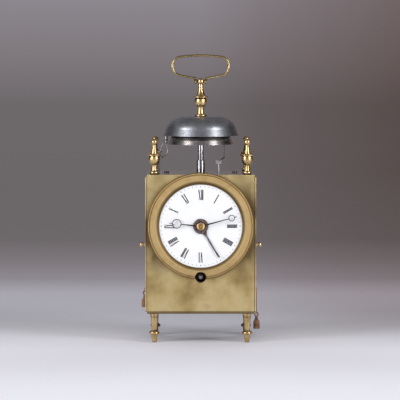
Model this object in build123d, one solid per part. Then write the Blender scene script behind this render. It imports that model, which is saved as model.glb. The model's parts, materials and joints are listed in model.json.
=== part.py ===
from build123d import *
import os
from math import atan2, cos, degrees, hypot, radians, sin, sqrt, tan

# A capucine: a small French travelling clock in a brass case, with its striking and alarm bells
# and a swinging carrying handle on top. It strikes the hours, and a cord with a tassel on each
# end winds the alarm. Millimetres. X is to the right, Y to the back and Z up, and the four feet
# stand on z = 0. The dial faces -Y.

# Fits
slip = 0.05  # radial gap of a pin, pipe or arbor in its hole
shake = 0.2  # end play of an arbor between its plates
air = 0.3  # gap between a door and what it closes against

# Case
case_width = 107.2
case_depth = 90.0
case_height = 139.2  # underside of the base plate to the top of the top plate
base_thick = 1.7
top_thick = 2.0
front_thick = 2.0
post_size = 11.0
post_setback = 1.6  # outer face of a post, in from the edge of the plates

# Feet and finials, turned, with a stud into the posts
foot_height = 29.3
foot_tip_radius = 2.3
foot_ring_radius = 5.2
foot_ring_height = 9.65
foot_ring_half = 1.65
foot_top_radius = 4.2
finial_height = 35.8
finial_base_radius = 4.6
finial_lip_radius = 7.1
finial_lip_height = 19.6
finial_ball_radius = 3.35
stud_radius = 1.5
stud_length = 8.0  # in the post
stud_room = 1.0  # left at the end of the post's hole

# Doors, pivoted on pins between the top and base plates
door_thick = 1.75
door_gap = 0.15
door_setback = 0.4  # front edge of a side door, behind the face of the front plate
door_round = 0.34  # of its thickness
door_pivot_inset = 2.1  # pivot axis, in from the edge of the plates
door_pivot_step = 5.0  # pivot axis, in front of the rear post
door_pin_radius = 0.8
stile_half = 1.7
back_door_recess = 1.15  # outer face of the rear door, in from the plates' back edge
back_door_knuckle = 1.6
knob_length = 6.0
knob_radius = 2.5
knob_height = 69.0  # above the underside of the case
knob_inset = 9.0  # behind the face of the front plate
back_knob_inset = 7.0  # from the free edge of the rear door

# Dial, bezel and winding hole
dial_drop = 51.2  # centre of the dial, below the top of the case
dial_radius = 45.5
dial_thick = 1.2
dial_rise = 2.5
bezel_radius = 53.1
bezel_bore = 41.6
bezel_height = 4.8
bezel_screw_radius = 0.9
bezel_screw_depth = 2.2  # in the bezel
bezel_screw_gap = 3.9  # between a screw's head and the corner post
screw_head = 2.0
screw_head_height = 1.2
winding_drop = 51.4  # winding arbor, below the centre of the dial
winding_hole_radius = 5.5
pipe_room = 0.8  # round the hour pipe, in the dial and the front plate

# Hands
alarm_hand_length = 37.0
hour_hand_length = 32.0
minute_hand_length = 37.5
hand_thick = 0.6
hand_gap = 0.3  # between the hands and before the dial
alarm_hub = 7.6
hour_hub = 5.0
hour_moon = 4.7
hour_moon_at = 24.0
minute_hub = 4.4
minute_moon = 3.25
minute_moon_at = 32.0
moon_wall = 0.7
hour_angle = 276.0
minute_angle = 74.9
alarm_angle = 149.7
collet_radius = 4.1
collet_height = 1.2
arbor_stub = 0.8  # centre arbor beyond the collet
taper_pin = 0.28
taper_pin_half = 2.0

# Movement plates
movement_half = 39.0
movement_inset = 14.0  # front of the movement, behind the front of the case
movement_gap = 38.0
movement_thick = 2.0
pillar_size = 8.0
pillar_reach = 34.5
foot_pillar_radius = 3.0
foot_pillar_height = 7.0  # above the base plate
pillar_end = 1.5  # radius of a pillar's end, through the back plate
pillar_end_length = 2.4
pillar_pin_radius = 0.45
pillar_pin_half = 3.5
top_screw_radius = 1.3
top_screw_depth = 5.5
top_screw_head = 2.5
top_screw_head_height = 1.5

# Wheels: teeth, leaves and modules of each mesh
great_teeth, great_leaves, great_module = 78, 10, 0.7
inner_teeth, inner_leaves, inner_module = 64, 10, 0.6
centre_teeth, centre_leaves, centre_module = 96, 8, 0.4
third_teeth, third_leaves, third_module = 96, 8, 0.36
pin_teeth, pin_leaves, pin_module = 60, 8, 0.5
warn_teeth, warn_leaves, warn_module = 60, 8, 0.4
count_teeth, count_leaves, count_module = 90, 8, 0.36
minute_teeth, minute_leaves, minute_module = 36, 12, 0.5
hour_teeth, hour_leaves, hour_module = 40, 10, 0.48
pin_turn = 121.3  # directions from one arbor to the next, from +X towards +Z
warn_turn = 103.6
fly_turn = 98.5
count_turn = -83.5
minute_turn = 225.0
lifting_pins = 6  # one for each half hour, as the minute wheel turns once in three hours
lifting_pin_at = 5.8  # from the minute wheel's axis
strike_pins = 8
strike_pins_at = 13.0  # from the pin wheel's axis
strike_pin_length = 2.2
count_ring = 1.8
fly_width = 17.0
fly_length = 8.0
fly_thick = 0.5
lever_x = -24.0  # arbor of the release lever
lever_rise = 16.7  # and above the centre of the dial
lever_width = 1.8
lever_thick = 0.8
cap_thick = 0.6
minute_stud_length = 7.4  # before the front plate
escape_teeth = 40
escape_radius = 9.2
escape_depth = 1.2
wheel_thick = 1.2
thin_wheel = 1.0  # the two lightest wheels
great_thick = 2.0
barrel_teeth_thick = 2.5
rim_width = 2.4  # inside the root of the teeth
hub_radius = 2.2
arm_width = 1.9
arm_end = 1.0  # of an arm, in the rim
wheel_root = 1.25  # depth of a wheel's teeth below the pitch circle, in modules
fine_arbor = 0.9
finest_arbor = 0.8
hub_reach = 0.6  # hub beyond each face of its wheel
leaf_overlap = 1.0  # pinion beyond each face of the wheel it meets
arbor_radius = 1.0
pivot_radius = 0.6
barrel_radius = 24.0
barrel_length = 14.0
barrel_wall = 1.2
winding_radius = 2.6
winding_neck = 2.2  # in the front plate
winding_pivot = 1.5  # in the back plate
key_square = 3.0
square_stub = 0.4  # end of the square, before the front plate
ratchet_teeth = 18
ratchet_radius = 8.0
ratchet_depth = 1.2
ratchet_thick = 1.8
click_reach = 13.5  # pivot of the click, from the winding arbor
click_spring_radius = 18.0
click_spring_thick = 0.8
spring_core = 5.0
spring_thick = 0.5
spring_step = 0.85  # growth of the coil in each half turn
pipe_radius = 2.0
hour_pipe_radius = 3.0
centre_radius = 1.2

# Front faces of the wheels, behind the inner face of the movement's front plate
winding_collar_plane = 1.6
strike_plane = 4.0
pin_plane = 10.0
warn_plane = 14.0
barrel_plane = 15.5
escape_plane = 17.0
fly_plane = 18.2
third_plane = 22.0
centre_plane = 28.0
inner_plane = 34.6

# Front faces of the wheels outside the movement
minute_wheel_step = 3.2  # before the front plate
hour_wheel_step = 6.2
count_wheel_step = 1.2  # behind the back plate

# Pendulum and anchor
anchor_room = 9.5  # anchor arbor, below the top plate
anchor_drop = 12.7  # anchor arbor above the escape wheel's
pallet_clear = 1.1
pallet_inner = 42.0  # faces of the pallets, in degrees from the top of the escape wheel
pallet_outer = 54.0
crutch_step = 2.6  # behind the movement
crutch_thick = 1.0
crutch_width = 1.8
crutch_length = 30.0
prong = 0.7
bob_height = 31.0  # above the base plate
bob_radius = 8.0
bob_thick = 7.0
pendulum_rod = 0.75
pendulum_eye = 2.0
eye_half = 1.0  # of its thickness
pendulum_step = 8.0  # plane of the pendulum, behind the movement
cock_half = 8.0
cock_clear = 3.2  # underside of the suspension cock, above the anchor arbor
cock_thick = 2.0
cock_ear = 3.0
cheek_half = 2.5
cheek_gap = 2.6
cheek_thick = 1.3

# Bells, their stand and the turned stem of the handle
stand_radius = 4.3
stand_step = 12.85
stand_neck = 3.0
bell_stud = 1.8
lower_bell_radius = 32.9
lower_bell_depth = 16.5
lower_bell_rise = 45.5  # top of the lower bell, above the top plate
upper_bell_radius = 38.2
upper_bell_depth = 19.4
upper_bell_step = 11.6  # top of the upper bell, above the top of the lower one
bell_wall = 1.6
stem_height = 35.2  # top of the upper bell to the handle's pin
stem_lip_radius = 7.8
stem_bore = 6.4  # depth of the hole for the bells' stud
spacer_radius = 4.0
head_radius = 3.5
handle_pin = 1.1
rivet_radius = 1.8
rivet_thick = 0.5

# Handle
handle_half = 29.7
handle_rise = 27.35  # top of the loop, above its pins
handle_wire = 1.15
handle_bend = 9.5
eye_radius = 2.5
eye_thick = 2.1
eye_gap = 0.4  # between an eye and the stem's head
eye_rise = 3.0  # ends of the wire on the eyes, above the pin
loop_rise = 4.4  # from the eyes out to the sides of the loop
crown_slope = 6.8  # degrees, of the top bar where it meets the corners
crown_bend = 160.0

# Striking hammer, on the left
hammer_inset = 3.0  # arbor of the hammer, in from the edge of the movement
hammer_drop = 16.5  # and below the top plate
strip_room = 9.8  # middle of the strip, outside the rim of the lower bell
strip_width = 3.4
strip_thick = 1.6
hammer_swing = 4.0  # degrees, away from the bell
hammer_head_gap = 0.1  # outside the rim of the lower bell
hammer_head_radius = 1.9
hammer_head_length = 7.2
hammer_head_drop = 15.9  # bottom of the head, below the top of the lower bell
boss_rise = 18.0  # above the top plate
boss_step = 1.4  # to the right of the strip
boss_radius = 2.0
neck_wire = 0.75
tail_turn = 140.0  # direction of the tail's end from the pin wheel's axis
tail_clear = 3.9  # end of the tail, outside the circle of pins
tail_width = 1.6

# Alarm, on the right
staff_x = 18.1
staff_step = 2.2  # hammer staff, behind the movement
staff_radius = 0.8
alarm_rod_radius = 0.6
alarm_rod_x = 24.0
alarm_rod_step = 5.0  # hammer rod, behind the middle of the bells
alarm_head_radius = 2.0
alarm_head_gap = 2.0  # between the head and the wall of the bell
collar_rise = 10.3  # above the top plate
collar_width = 5.8
collar_depth = 3.6
collar_height = 3.8
knee_height = 15.5  # foot of the hammer rod, above the top plate
verge_reach = 2.2
alarm_head_drop = 15.4  # middle of the head, below the top of the lower bell
crown_radius = 9.0
crown_teeth = 15
crown_wall = 0.8
crown_depth = 2.2  # of the teeth
crown_disc = 1.5
bracket_gap = 0.3
bracket_thick = 1.3
bracket_half = 6.0
pulley_groove = 3.5
pulley_flange = 5.5
pulley_width = 4.0
pulley_lip = 0.9
cord_height = 17.6  # above the base plate
eyelet_radius = 1.6
eyelet_flange = 0.9
eyelet_length = 3.2  # outside the post
eyelet_depth = 4.0  # in the post
cord_radius = 0.5
cord_bend = 1.0
tassel_step = 3.8  # outside the edge of the plates
tassel_radius = 3.4
tassel_body = 10.6
tassel_ring = 2.15
tassel_neck = 2.5
tassel_neck_radius = 1.4
left_hang = 2.2
right_hang = 24.4

# Places that follow from the sizes above
half_width = case_width / 2
floor_z = foot_height + base_thick
top_z = foot_height + case_height
ceiling_z = top_z - top_thick
knob_z = foot_height + knob_height
dial_z = top_z - dial_drop
anchor_z = ceiling_z - anchor_room
bob_z = floor_z + bob_height
cord_z = floor_z + cord_height
tassel_x = half_width + tassel_step
lower_bell_top = top_z + lower_bell_rise
upper_bell_top = lower_bell_top + upper_bell_step
handle_z = upper_bell_top + stem_height
handle_top = handle_z + handle_rise
hammer_x = hammer_inset - movement_half
hammer_z = ceiling_z - hammer_drop
hammer_head_x = -lower_bell_radius - hammer_head_gap - hammer_head_radius
strip_x = -lower_bell_radius - strip_room
dial_front = dial_thick + dial_rise
alarm_level = dial_front + hand_gap + slip
hour_level = alarm_level + hand_thick + hand_gap
minute_level = hour_level + hand_thick + hand_gap
collet_level = minute_level + hand_thick
front_reach = collet_level + collet_height + arbor_stub
back_reach = knob_length - back_door_recess
front_y = (front_reach - back_reach - case_depth) / 2
back_y = front_y + case_depth
mid_y = (front_y + back_y) / 2
post_x = half_width - post_setback - post_size / 2
post_ys = (front_y + front_thick + post_size / 2, back_y - front_thick - post_size / 2)
corners = [(side * post_x, y) for side in (-1, 1) for y in post_ys]
plate_a = front_y + movement_inset  # outer face of the movement's front plate
inside_a = plate_a + movement_thick
inside_b = inside_a + movement_gap
plate_b = inside_b + movement_thick  # outer face of the movement's back plate
pendulum_y = plate_b + pendulum_step
pillar_pin_y = plate_b + pillar_pin_radius + slip
count_front = plate_b + count_wheel_step
staff_y = plate_b + staff_step
crown_tips = staff_y + verge_reach + 0.8
cord_y = post_ys[1]
cord_pitch = 2.4 * cord_radius  # the cord lies beside itself on the pulley
cord_lines = {side: cord_y + side * cord_pitch / 2 for side in (-1, 1)}
pulley_z = cord_z - pulley_groove - cord_radius - slip
wrap_radius = pulley_groove + cord_radius + slip
hammer_boss = (strip_x + boss_step, top_z + boss_rise)
head_low = lower_bell_top - hammer_head_drop
alarm_rod_at = (alarm_rod_x, mid_y + alarm_rod_step)
alarm_head_z = lower_bell_top - alarm_head_drop
eye_inside = head_radius + eye_gap
eye_outside = eye_inside + eye_thick


def inward(depth):
    """Y of a plane this far inside the movement's front plate."""
    return inside_a + depth


def mesh_distance(teeth, leaves, module):
    return module * (teeth + leaves) / 2


def apex(a, b, from_a, from_b, side):
    """The point at these distances from a and b, right (+1) or left (-1) of the way from a to b."""
    length = hypot(b[0] - a[0], b[1] - a[1])
    along = (length**2 + from_a**2 - from_b**2) / (2 * length)
    across = side * sqrt(from_a**2 - along**2)
    ux, uz = (b[0] - a[0]) / length, (b[1] - a[1]) / length
    return a[0] + along * ux + across * uz, a[1] + along * uz - across * ux


def reach(start, degrees_up, distance):
    """The point at a distance from start, in a direction measured from +X towards +Z."""
    return start[0] + distance * cos(radians(degrees_up)), start[1] + distance * sin(radians(degrees_up))


def heading(start, end):
    """Direction from start to end in degrees, from +X towards +Z."""
    return degrees(atan2(end[1] - start[1], end[0] - start[0]))


# Arbors, as (x, z)
winding_at = (0.0, dial_z - winding_drop)
centre_at = (0.0, dial_z)
inner_at = apex(
    winding_at,
    centre_at,
    mesh_distance(great_teeth, great_leaves, great_module),
    mesh_distance(inner_teeth, inner_leaves, inner_module),
    1,
)
escape_at = (0.0, anchor_z - anchor_drop)
anchor_at = (0.0, anchor_z)
third_at = apex(
    centre_at,
    escape_at,
    mesh_distance(centre_teeth, centre_leaves, centre_module),
    mesh_distance(third_teeth, third_leaves, third_module),
    1,
)
pin_at = reach(winding_at, pin_turn, mesh_distance(great_teeth, great_leaves, great_module))
warn_at = reach(pin_at, warn_turn, mesh_distance(pin_teeth, pin_leaves, pin_module))
fly_at = reach(warn_at, fly_turn, mesh_distance(warn_teeth, warn_leaves, warn_module))
count_at = reach(pin_at, count_turn, mesh_distance(count_teeth, count_leaves, count_module))
minute_at = reach(centre_at, minute_turn, mesh_distance(minute_teeth, minute_leaves, minute_module))
lever_at = (lever_x, dial_z + lever_rise)
click_at = reach(winding_at, 20, click_reach)
hammer_at = (hammer_x, hammer_z)
foot_pillars = [(side * pillar_reach, floor_z + foot_pillar_height) for side in (-1, 1)]
top_pillars = [(side * pillar_reach, ceiling_z - pillar_size / 2) for side in (-1, 1)]


# Solids that many pieces are made of


def block(x0, x1, y0, y1, z0, z1):
    return Pos((x0 + x1) / 2, (y0 + y1) / 2, (z0 + z1) / 2) * Box(x1 - x0, y1 - y0, z1 - z0)


def upright(x, y, z0, z1, radius):
    return Pos(x, y, (z0 + z1) / 2) * Cylinder(radius, z1 - z0)


def rod(at, y0, y1, radius):
    """A cylinder along Y at (x, z)."""
    return Pos(at[0], (y0 + y1) / 2, at[1]) * Rot(90, 0, 0) * Cylinder(radius, y1 - y0)


def bar(y, z, x0, x1, radius):
    """A cylinder along X."""
    return Pos((x0 + x1) / 2, y, z) * Rot(0, 90, 0) * Cylinder(radius, x1 - x0)


def outline(*steps):
    """A closed outline. A step is the end of a straight run, or the middle and end of an arc."""
    edges = []
    here = steps[0]
    for step in steps[1:]:
        if isinstance(step[0], tuple):
            edges.append(ThreePointArc(here, step[0], step[1]))
            here = step[1]
        else:
            edges.append(Line(here, step))
            here = step
    if here != steps[0]:
        edges.append(Line(here, steps[0]))
    return make_face(edges)


def turned(*steps):
    """A solid turned about Z, from (radius, height) steps."""
    return revolve(Plane.XZ * outline(*steps), Axis.Z)


def faced(*steps):
    """A solid turned about Y, from (radius, y) steps."""
    return revolve(outline(*steps), Axis.Y)


def slab(sketch, at, y0, y1):
    """A flat piece: a sketch as seen from the front at (x, z), between two planes."""
    plane = Plane((at[0], y0, at[1]), x_dir=(1, 0, 0), z_dir=(0, -1, 0))
    return extrude(plane * sketch, amount=y0 - y1)


def wire(path, radius):
    """Round wire along a path in the X-Z plane."""
    return sweep(Plane(origin=path @ 0, z_dir=path % 0) * Circle(radius), path)


def strip(points, width):
    """A flat strip with round ends, along (x, z) points."""
    shape = Sketch()
    for (x0, z0), (x1, z1) in zip(points, points[1:]):
        run = Pos((x0 + x1) / 2, (z0 + z1) / 2) * Rot(0, 0, heading((x0, z0), (x1, z1)))
        shape += run * Rectangle(hypot(x1 - x0, z1 - z0), width)
    for x, z in points:
        shape += Pos(x, z) * Circle(width / 2)
    return shape


def ball_end(radius, middle, neck):
    """The last steps of a turned outline: from a neck of this radius round a ball to the axis."""
    return (neck, middle - sqrt(radius**2 - neck**2)), ((radius, middle), (0, middle + radius))


# Wheels


def toothed(teeth, module, up, down, root_share, tip_share, toward):
    """A toothed outline with the middle of one tooth in the direction toward, in degrees."""
    root = module * (teeth / 2 - down)
    tip = module * (teeth / 2 + up)
    pitch = 360 / teeth
    points = []
    corners_of_tooth = ((root, -root_share), (tip, -tip_share), (tip, tip_share), (root, root_share))
    for tooth in range(teeth):
        middle = toward + tooth * pitch
        for radius, share in corners_of_tooth:
            points.append(reach((0, 0), middle + share * pitch, radius))
    return Polygon(*points, align=None)


def wheel_teeth(teeth, module, toward):
    return toothed(teeth, module, 1.0, wheel_root, 0.30, 0.09, toward)


def pinion(at, leaves, module, y0, y1, toward):
    """A pinion with a gap in the direction toward, where a wheel's tooth enters."""
    shape = toothed(leaves, module, 0.6, 1.35, 0.12, 0.10, toward + 180 / leaves)
    return slab(shape, at, y0, y1)


def driven(at, leaves, module, plane, thick, toward):
    """A pinion inside the movement that a wheel on this plane turns, a little longer than its teeth."""
    y0, y1 = inward(plane) - leaf_overlap, inward(plane) + thick + leaf_overlap
    return pinion(at, leaves, module, y0, y1, toward)


def spoked(at, teeth, module, toward, y0, thick, arms=4, turn=0.0):
    """A wheel with its teeth round a rim, thin arms and a hub."""
    rim = module * (teeth / 2 - wheel_root) - rim_width
    shape = wheel_teeth(teeth, module, toward) - Circle(rim) + Circle(hub_radius)
    return slab(shape + spokes(rim, arms, turn), at, y0, y0 + thick)


def spokes(rim, arms, turn=0.0):
    """Arms from the middle of a wheel to just inside its rim."""
    shape = Sketch()
    for arm in range(arms):
        shape += Rot(0, 0, turn + arm * 360 / arms) * Pos(rim / 2, 0) * Rectangle(rim + arm_end, arm_width)
    return shape


def arbor(at, radius=arbor_radius):
    """A shaft between the movement plates, with a pivot through each."""
    shaft = rod(at, inside_a + shake, inside_b - shake, radius)
    return shaft + rod(at, plate_a, plate_b, pivot_radius)


def hub(at, y0, thick):
    """The collet that a wheel is riveted to."""
    return rod(at, y0 - hub_reach, y0 + thick + hub_reach, hub_radius)


# Case


def base_plate():
    plate = block(-half_width, half_width, front_y, back_y, foot_height, floor_z)
    for x, y in corners:
        plate -= upright(x, y, foot_height, floor_z, stud_radius + slip)
    for x, y, radius in door_pins():
        plate -= upright(x, y, foot_height, floor_z, radius + slip)
    return plate - upright(staff_x, staff_y, foot_height, floor_z, pivot_radius + slip)


def top_plate():
    plate = block(-half_width, half_width, front_y + front_thick, back_y, ceiling_z, top_z)
    for x, y in corners:
        plate -= upright(x, y, ceiling_z, top_z, stud_radius + slip)
    for x, y, radius in door_pins():
        plate -= upright(x, y, ceiling_z, top_z, radius + slip)
    for x, _ in top_pillars:
        plate -= upright(x, mid_y, ceiling_z, top_z, top_screw_radius + slip)
    plate -= upright(0, mid_y, ceiling_z, top_z, stand_neck + slip)
    plate -= upright(staff_x, staff_y, ceiling_z, top_z, staff_radius + slip)
    swing = (top_z - hammer_z) * sin(radians(hammer_swing))
    left = strip_x - strip_width / 2 - swing - air
    right = strip_x + strip_width / 2 + air
    half = strip_thick / 2 + air
    return plate - block(left, right, mid_y - half, mid_y + half, ceiling_z, top_z)


def corner_posts():
    """Square posts, bored at both ends for the studs; cord holes cross the rear two."""
    posts = []
    half = post_size / 2
    for x, y in corners:
        post = block(x - half, x + half, y - half, y + half, floor_z, ceiling_z)
        post -= upright(x, y, floor_z, floor_z + stud_length, stud_radius + slip)
        post -= upright(x, y, ceiling_z - stud_length, ceiling_z, stud_radius + slip)
        if y > mid_y:
            line = cord_lines[1 if x > 0 else -1]
            post -= bar(line, cord_z, x - half, x + half, eyelet_radius)
        posts.append(post)
    return posts


def front_plate():
    plate = block(-half_width, half_width, front_y, front_y + front_thick, floor_z, top_z)
    plate -= rod(centre_at, front_y, front_y + front_thick, hour_pipe_radius + pipe_room)
    plate -= rod(winding_at, front_y, front_y + front_thick, winding_hole_radius)
    for at in bezel_screw_places():
        plate -= rod(at, front_y, front_y + front_thick, bezel_screw_radius + slip)
    return plate


def cord_eyelets():
    """A flanged tube in the outer face of each rear post, where the alarm cord leaves."""
    outer = post_x + post_size / 2
    inner = outer - eyelet_depth
    bore = cord_radius + air
    end = outer + eyelet_length
    flange = eyelet_radius + eyelet_flange
    tube = outline(
        (inner, bore),
        (inner, eyelet_radius - slip),
        (outer, eyelet_radius - slip),
        (outer, flange),
        (outer + eyelet_flange, flange),
        (outer + eyelet_flange, eyelet_radius - 0.2),
        (end - 0.5, eyelet_radius - 0.2),
        ((end, eyelet_radius - 0.5), (end - 0.4, bore)),
    )
    eyelet = revolve(tube, Axis.X)
    left = Pos(0, cord_lines[-1], cord_z) * mirror(eyelet, Plane.YZ)
    return [left, Pos(0, cord_lines[1], cord_z) * eyelet]


def foot():
    ring = foot_ring_radius
    low, high = foot_ring_height - foot_ring_half, foot_ring_height + foot_ring_half
    top = foot_height
    stud_top = top + base_thick + stud_length - stud_room
    return turned(
        (0, 0),
        (foot_tip_radius - 0.3, 0),
        (foot_tip_radius, 0.3),
        (foot_tip_radius + 0.8, low - 0.4),
        (ring - 1.4, low),
        ((ring, foot_ring_height), (ring - 1.6, high)),
        (foot_tip_radius + 0.4, high + 1.4),
        (foot_top_radius - 0.5, top - 4.6),
        (foot_top_radius - 1.0, top - 4.2),
        ((foot_top_radius - 0.2, top - 3.5), (foot_top_radius - 0.9, top - 2.8)),
        (foot_top_radius - 0.1, top - 2.6),
        ((foot_top_radius + 0.1, top - 1.3), (foot_top_radius - 0.1, top)),
        (stud_radius, top),
        (stud_radius, stud_top),
        (0, stud_top),
    )


def feet():
    return [Pos(x, y, 0) * foot() for x, y in corners]


def finial():
    """A vase on a bead, with a thin lip and a spire under a ball. Heights from the top plate."""
    base, lip = finial_base_radius, finial_lip_height
    ball = finial_height - finial_ball_radius
    stud_end = -top_thick - stud_length + stud_room
    return turned(
        (0, stud_end),
        (stud_radius, stud_end),
        (stud_radius, 0),
        (base - 0.9, 0),
        ((base, 1.8), (base - 0.9, 3.6)),
        (base - 1.8, 3.9),
        ((base - 2.2, 6.6), (base - 2.1, 9.2)),
        (base - 0.9, 10.2),
        ((base + 0.7, 13.0), (base + 0.8, lip - 1.4)),
        (base + 0.3, lip - 1.0),
        (finial_lip_radius - 0.4, lip - 0.8),
        ((finial_lip_radius, lip), (finial_lip_radius - 0.5, lip + 0.6)),
        (base - 1.1, lip + 1.0),
        ((base - 2.1, lip + 4.2), (base - 2.7, ball - 3.0)),
        *ball_end(finial_ball_radius, ball, base - 2.4),
    )


def finials():
    return [Pos(x, y, top_z) * finial() for x, y in corners]


# Doors


def door_pins():
    """Pivot axes of the side doors and the rear door, as (x, y, pin radius)."""
    side_y = post_ys[1] - post_size / 2 - door_pivot_step
    side_x = half_width - door_pivot_inset
    rear_x = -(post_x - post_size / 2 - back_door_knuckle - air)
    rear_y = back_y - back_door_recess - door_thick / 2
    pin = door_pin_radius
    return [(-side_x, side_y, pin), (side_x, side_y, pin), (rear_x, rear_y, pin)]


def knob():
    """A turned knob on a collar, pointing along +X, with a stud into its door."""
    stud_end = -0.8 * door_thick
    shape = turned(
        (0, stud_end),
        (0.9, stud_end),
        (0.9, 0),
        (knob_radius - 0.3, 0),
        (knob_radius - 0.5, 0.9),
        (1.2, 1.3),
        *ball_end(knob_radius, knob_length - knob_radius, 1.1),
    )
    return Rot(0, 90, 0) * shape


def side_door(side):
    """A sheet that laps over the edge of the front plate, with its pivot stile and knob."""
    low, high = floor_z + air, ceiling_z - air
    pin_x, pin_y, pin = door_pins()[1]
    inner = half_width + door_gap
    panel = block(inner, inner + door_thick, front_y + door_setback, pin_y + stile_half, low, high)
    panel = fillet(panel.edges().filter_by(Axis.Z).group_by(Axis.Y)[0], door_round * door_thick)
    stile = block(pin_x - stile_half, inner, pin_y - stile_half, pin_y + stile_half, low, high)
    pins = upright(pin_x, pin_y, foot_height, top_z, pin)
    grip = Pos(inner + door_thick, front_y + knob_inset, knob_z) * knob()
    door = panel + stile + pins + grip
    return door if side > 0 else mirror(door, Plane.YZ)


def rear_door():
    """A sheet between the rear posts, with a rolled knuckle round its pivot pins."""
    low, high = floor_z + air, ceiling_z - air
    pin_x, pin_y, pin = door_pins()[2]
    free = post_x - post_size / 2 - air
    panel = block(pin_x, free, pin_y - door_thick / 2, pin_y + door_thick / 2, low, high)
    knuckle = upright(pin_x, pin_y, low, high, back_door_knuckle)
    pins = upright(pin_x, pin_y, foot_height, top_z, pin)
    grip = Pos(free - back_knob_inset, pin_y + door_thick / 2, knob_z) * Rot(0, 0, 90) * knob()
    return panel + knuckle + pins + grip


# Dial, bezel and hands


def bezel_screw_places():
    middle = (dial_radius + bezel_radius) / 2 + air
    aside = post_x - post_size / 2 - bezel_screw_gap - screw_head
    rise = sqrt(middle**2 - aside**2)
    return [(side * aside, dial_z + level * rise) for level in (1, -1) for side in (1, -1)]


def bezel():
    """A moulded ring: an outer bead, a groove, a broad band and a bevel down to the dial."""
    r, bore, top = bezel_radius, bezel_bore, bezel_height
    lip = dial_thick + dial_dome(bore) + slip
    ring = faced(
        (r, 0),
        (r, -top + 2.3),
        ((r - 0.4, -top + 1.3), (r - 1.3, -top + 1.0)),
        (r - 1.9, -top + 1.5),
        (r - 2.3, -top + 0.7),
        (r - 7.1, -top),
        ((r - 7.9, -top + 0.1), (r - 8.2, -top + 0.6)),
        (bore, -lip - 0.8),
        (bore, -lip),
        (dial_radius + air, -lip),
        (dial_radius + air, 0),
    )
    ring = Pos(0, front_y, dial_z) * ring
    for at in bezel_screw_places():
        ring -= rod(at, front_y - bezel_screw_depth - slip, front_y, bezel_screw_radius + slip)
    return ring - rod(winding_at, front_y - top, front_y, winding_hole_radius)


def bezel_screws():
    back = front_y + front_thick
    screws = []
    for at in bezel_screw_places():
        screw = rod(at, front_y - bezel_screw_depth, back, bezel_screw_radius)
        screw += rod(at, back, back + screw_head_height, screw_head)
        slot = Box(2 * screw_head + 1, screw_head_height, 0.25 * screw_head)
        screws.append(screw - Pos(at[0], back + screw_head_height, at[1]) * slot)
    return screws


def dial_dome(radius):
    """How far the dial's back stands before its edge at this distance from the centre."""
    return dial_rise * (1 - (radius / dial_radius) ** 2)


def dial():
    """A domed disc of enamelled copper, bored for the hands."""
    bore = hour_pipe_radius + pipe_room
    half = dial_radius / 2
    disc = faced(
        (bore, -dial_dome(bore)),
        (bore, -dial_dome(bore) - dial_thick),
        ((half, -dial_dome(half) - dial_thick), (dial_radius, -dial_thick)),
        (dial_radius, 0),
        ((half, -dial_dome(half)), (bore, -dial_dome(bore))),
    )
    disc = Pos(0, front_y, dial_z) * disc
    return disc - rod(winding_at, front_y - dial_front, front_y, winding_hole_radius)


def tapered(low, high, half_low, half_high):
    """A strip that narrows upwards."""
    return Polygon((-half_low, low), (half_low, low), (half_high, high), (-half_high, high), align=None)


def breguet(length, moon, moon_at, hub_size, bore, root):
    """A hand with an open moon near its tip, pointing up."""
    in_ring = moon - moon_wall / 2
    shape = tapered(0, moon_at - in_ring, root, 0.35) + tapered(moon_at + in_ring, length, 0.55, 0.1)
    shape += Pos(0, moon_at) * Circle(moon)
    shape -= Pos(0, moon_at) * Circle(moon - moon_wall)
    shape += Circle(hub_size)
    return shape - Circle(bore)


def hand(sketch, angle, level):
    """A hand on the dial centre, turned clockwise from 12, its back this far before the case."""
    front = front_y - level - hand_thick
    return slab(Rot(0, 0, -angle) * sketch, centre_at, front, front + hand_thick)


def hour_hand():
    shape = breguet(hour_hand_length, hour_moon, hour_moon_at, hour_hub, hour_pipe_radius + slip, 0.9)
    return hand(shape, hour_angle, hour_level)


def minute_hand():
    shape = breguet(minute_hand_length, minute_moon, minute_moon_at, minute_hub, pipe_radius + slip, 0.8)
    return hand(shape, minute_angle, minute_level)


def alarm_hand():
    """A plain blade that flares into a wide round hub."""
    root, waist, tip = alarm_hub - 1.5, alarm_hub + 9, alarm_hand_length
    blade = outline(
        (-3.2, root),
        ((-1.3, alarm_hub + 3), (-0.9, waist)),
        (-0.25, tip - 0.3),
        ((0, tip), (0.25, tip - 0.3)),
        (0.9, waist),
        ((1.3, alarm_hub + 3), (3.2, root)),
    )
    shape = blade + Circle(alarm_hub) - Circle(hour_pipe_radius + slip)
    return hand(shape, alarm_angle, alarm_level)


def hand_collet():
    """A dished brass washer that holds the hands on the centre arbor."""
    face = front_y - collet_level - collet_height
    dish = faced(
        (centre_radius + slip, 0.7),
        (collet_radius - 1.0, 0.0),
        ((collet_radius - 0.3, 0.1), (collet_radius, 0.5)),
        (collet_radius, collet_height),
        (centre_radius + slip, collet_height),
    )
    return Pos(0, face, dial_z) * dish


# Going train


def cannon_pinion():
    """The pipe that carries the minute hand, with the pinion of the motion work."""
    end = front_y - collet_level
    y0 = plate_a - minute_wheel_step
    pipe = rod(centre_at, end, plate_a - shake, pipe_radius)
    toward = heading(centre_at, minute_at)
    pipe += pinion(centre_at, minute_leaves, minute_module, y0 - 0.2, y0 + wheel_thick + 0.2, toward)
    return pipe - rod(centre_at, end, plate_a, centre_radius + slip)


def minute_wheel_stud():
    """A shouldered stud in the front plate, with a cap before the wheel."""
    cap = plate_a - minute_stud_length
    shaft = rod(minute_at, cap, inside_a, arbor_radius)
    shaft += rod(minute_at, plate_a - 1.2, plate_a, 2 * arbor_radius)
    return shaft + rod(minute_at, cap - cap_thick, cap, 1.6 * arbor_radius)


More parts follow.
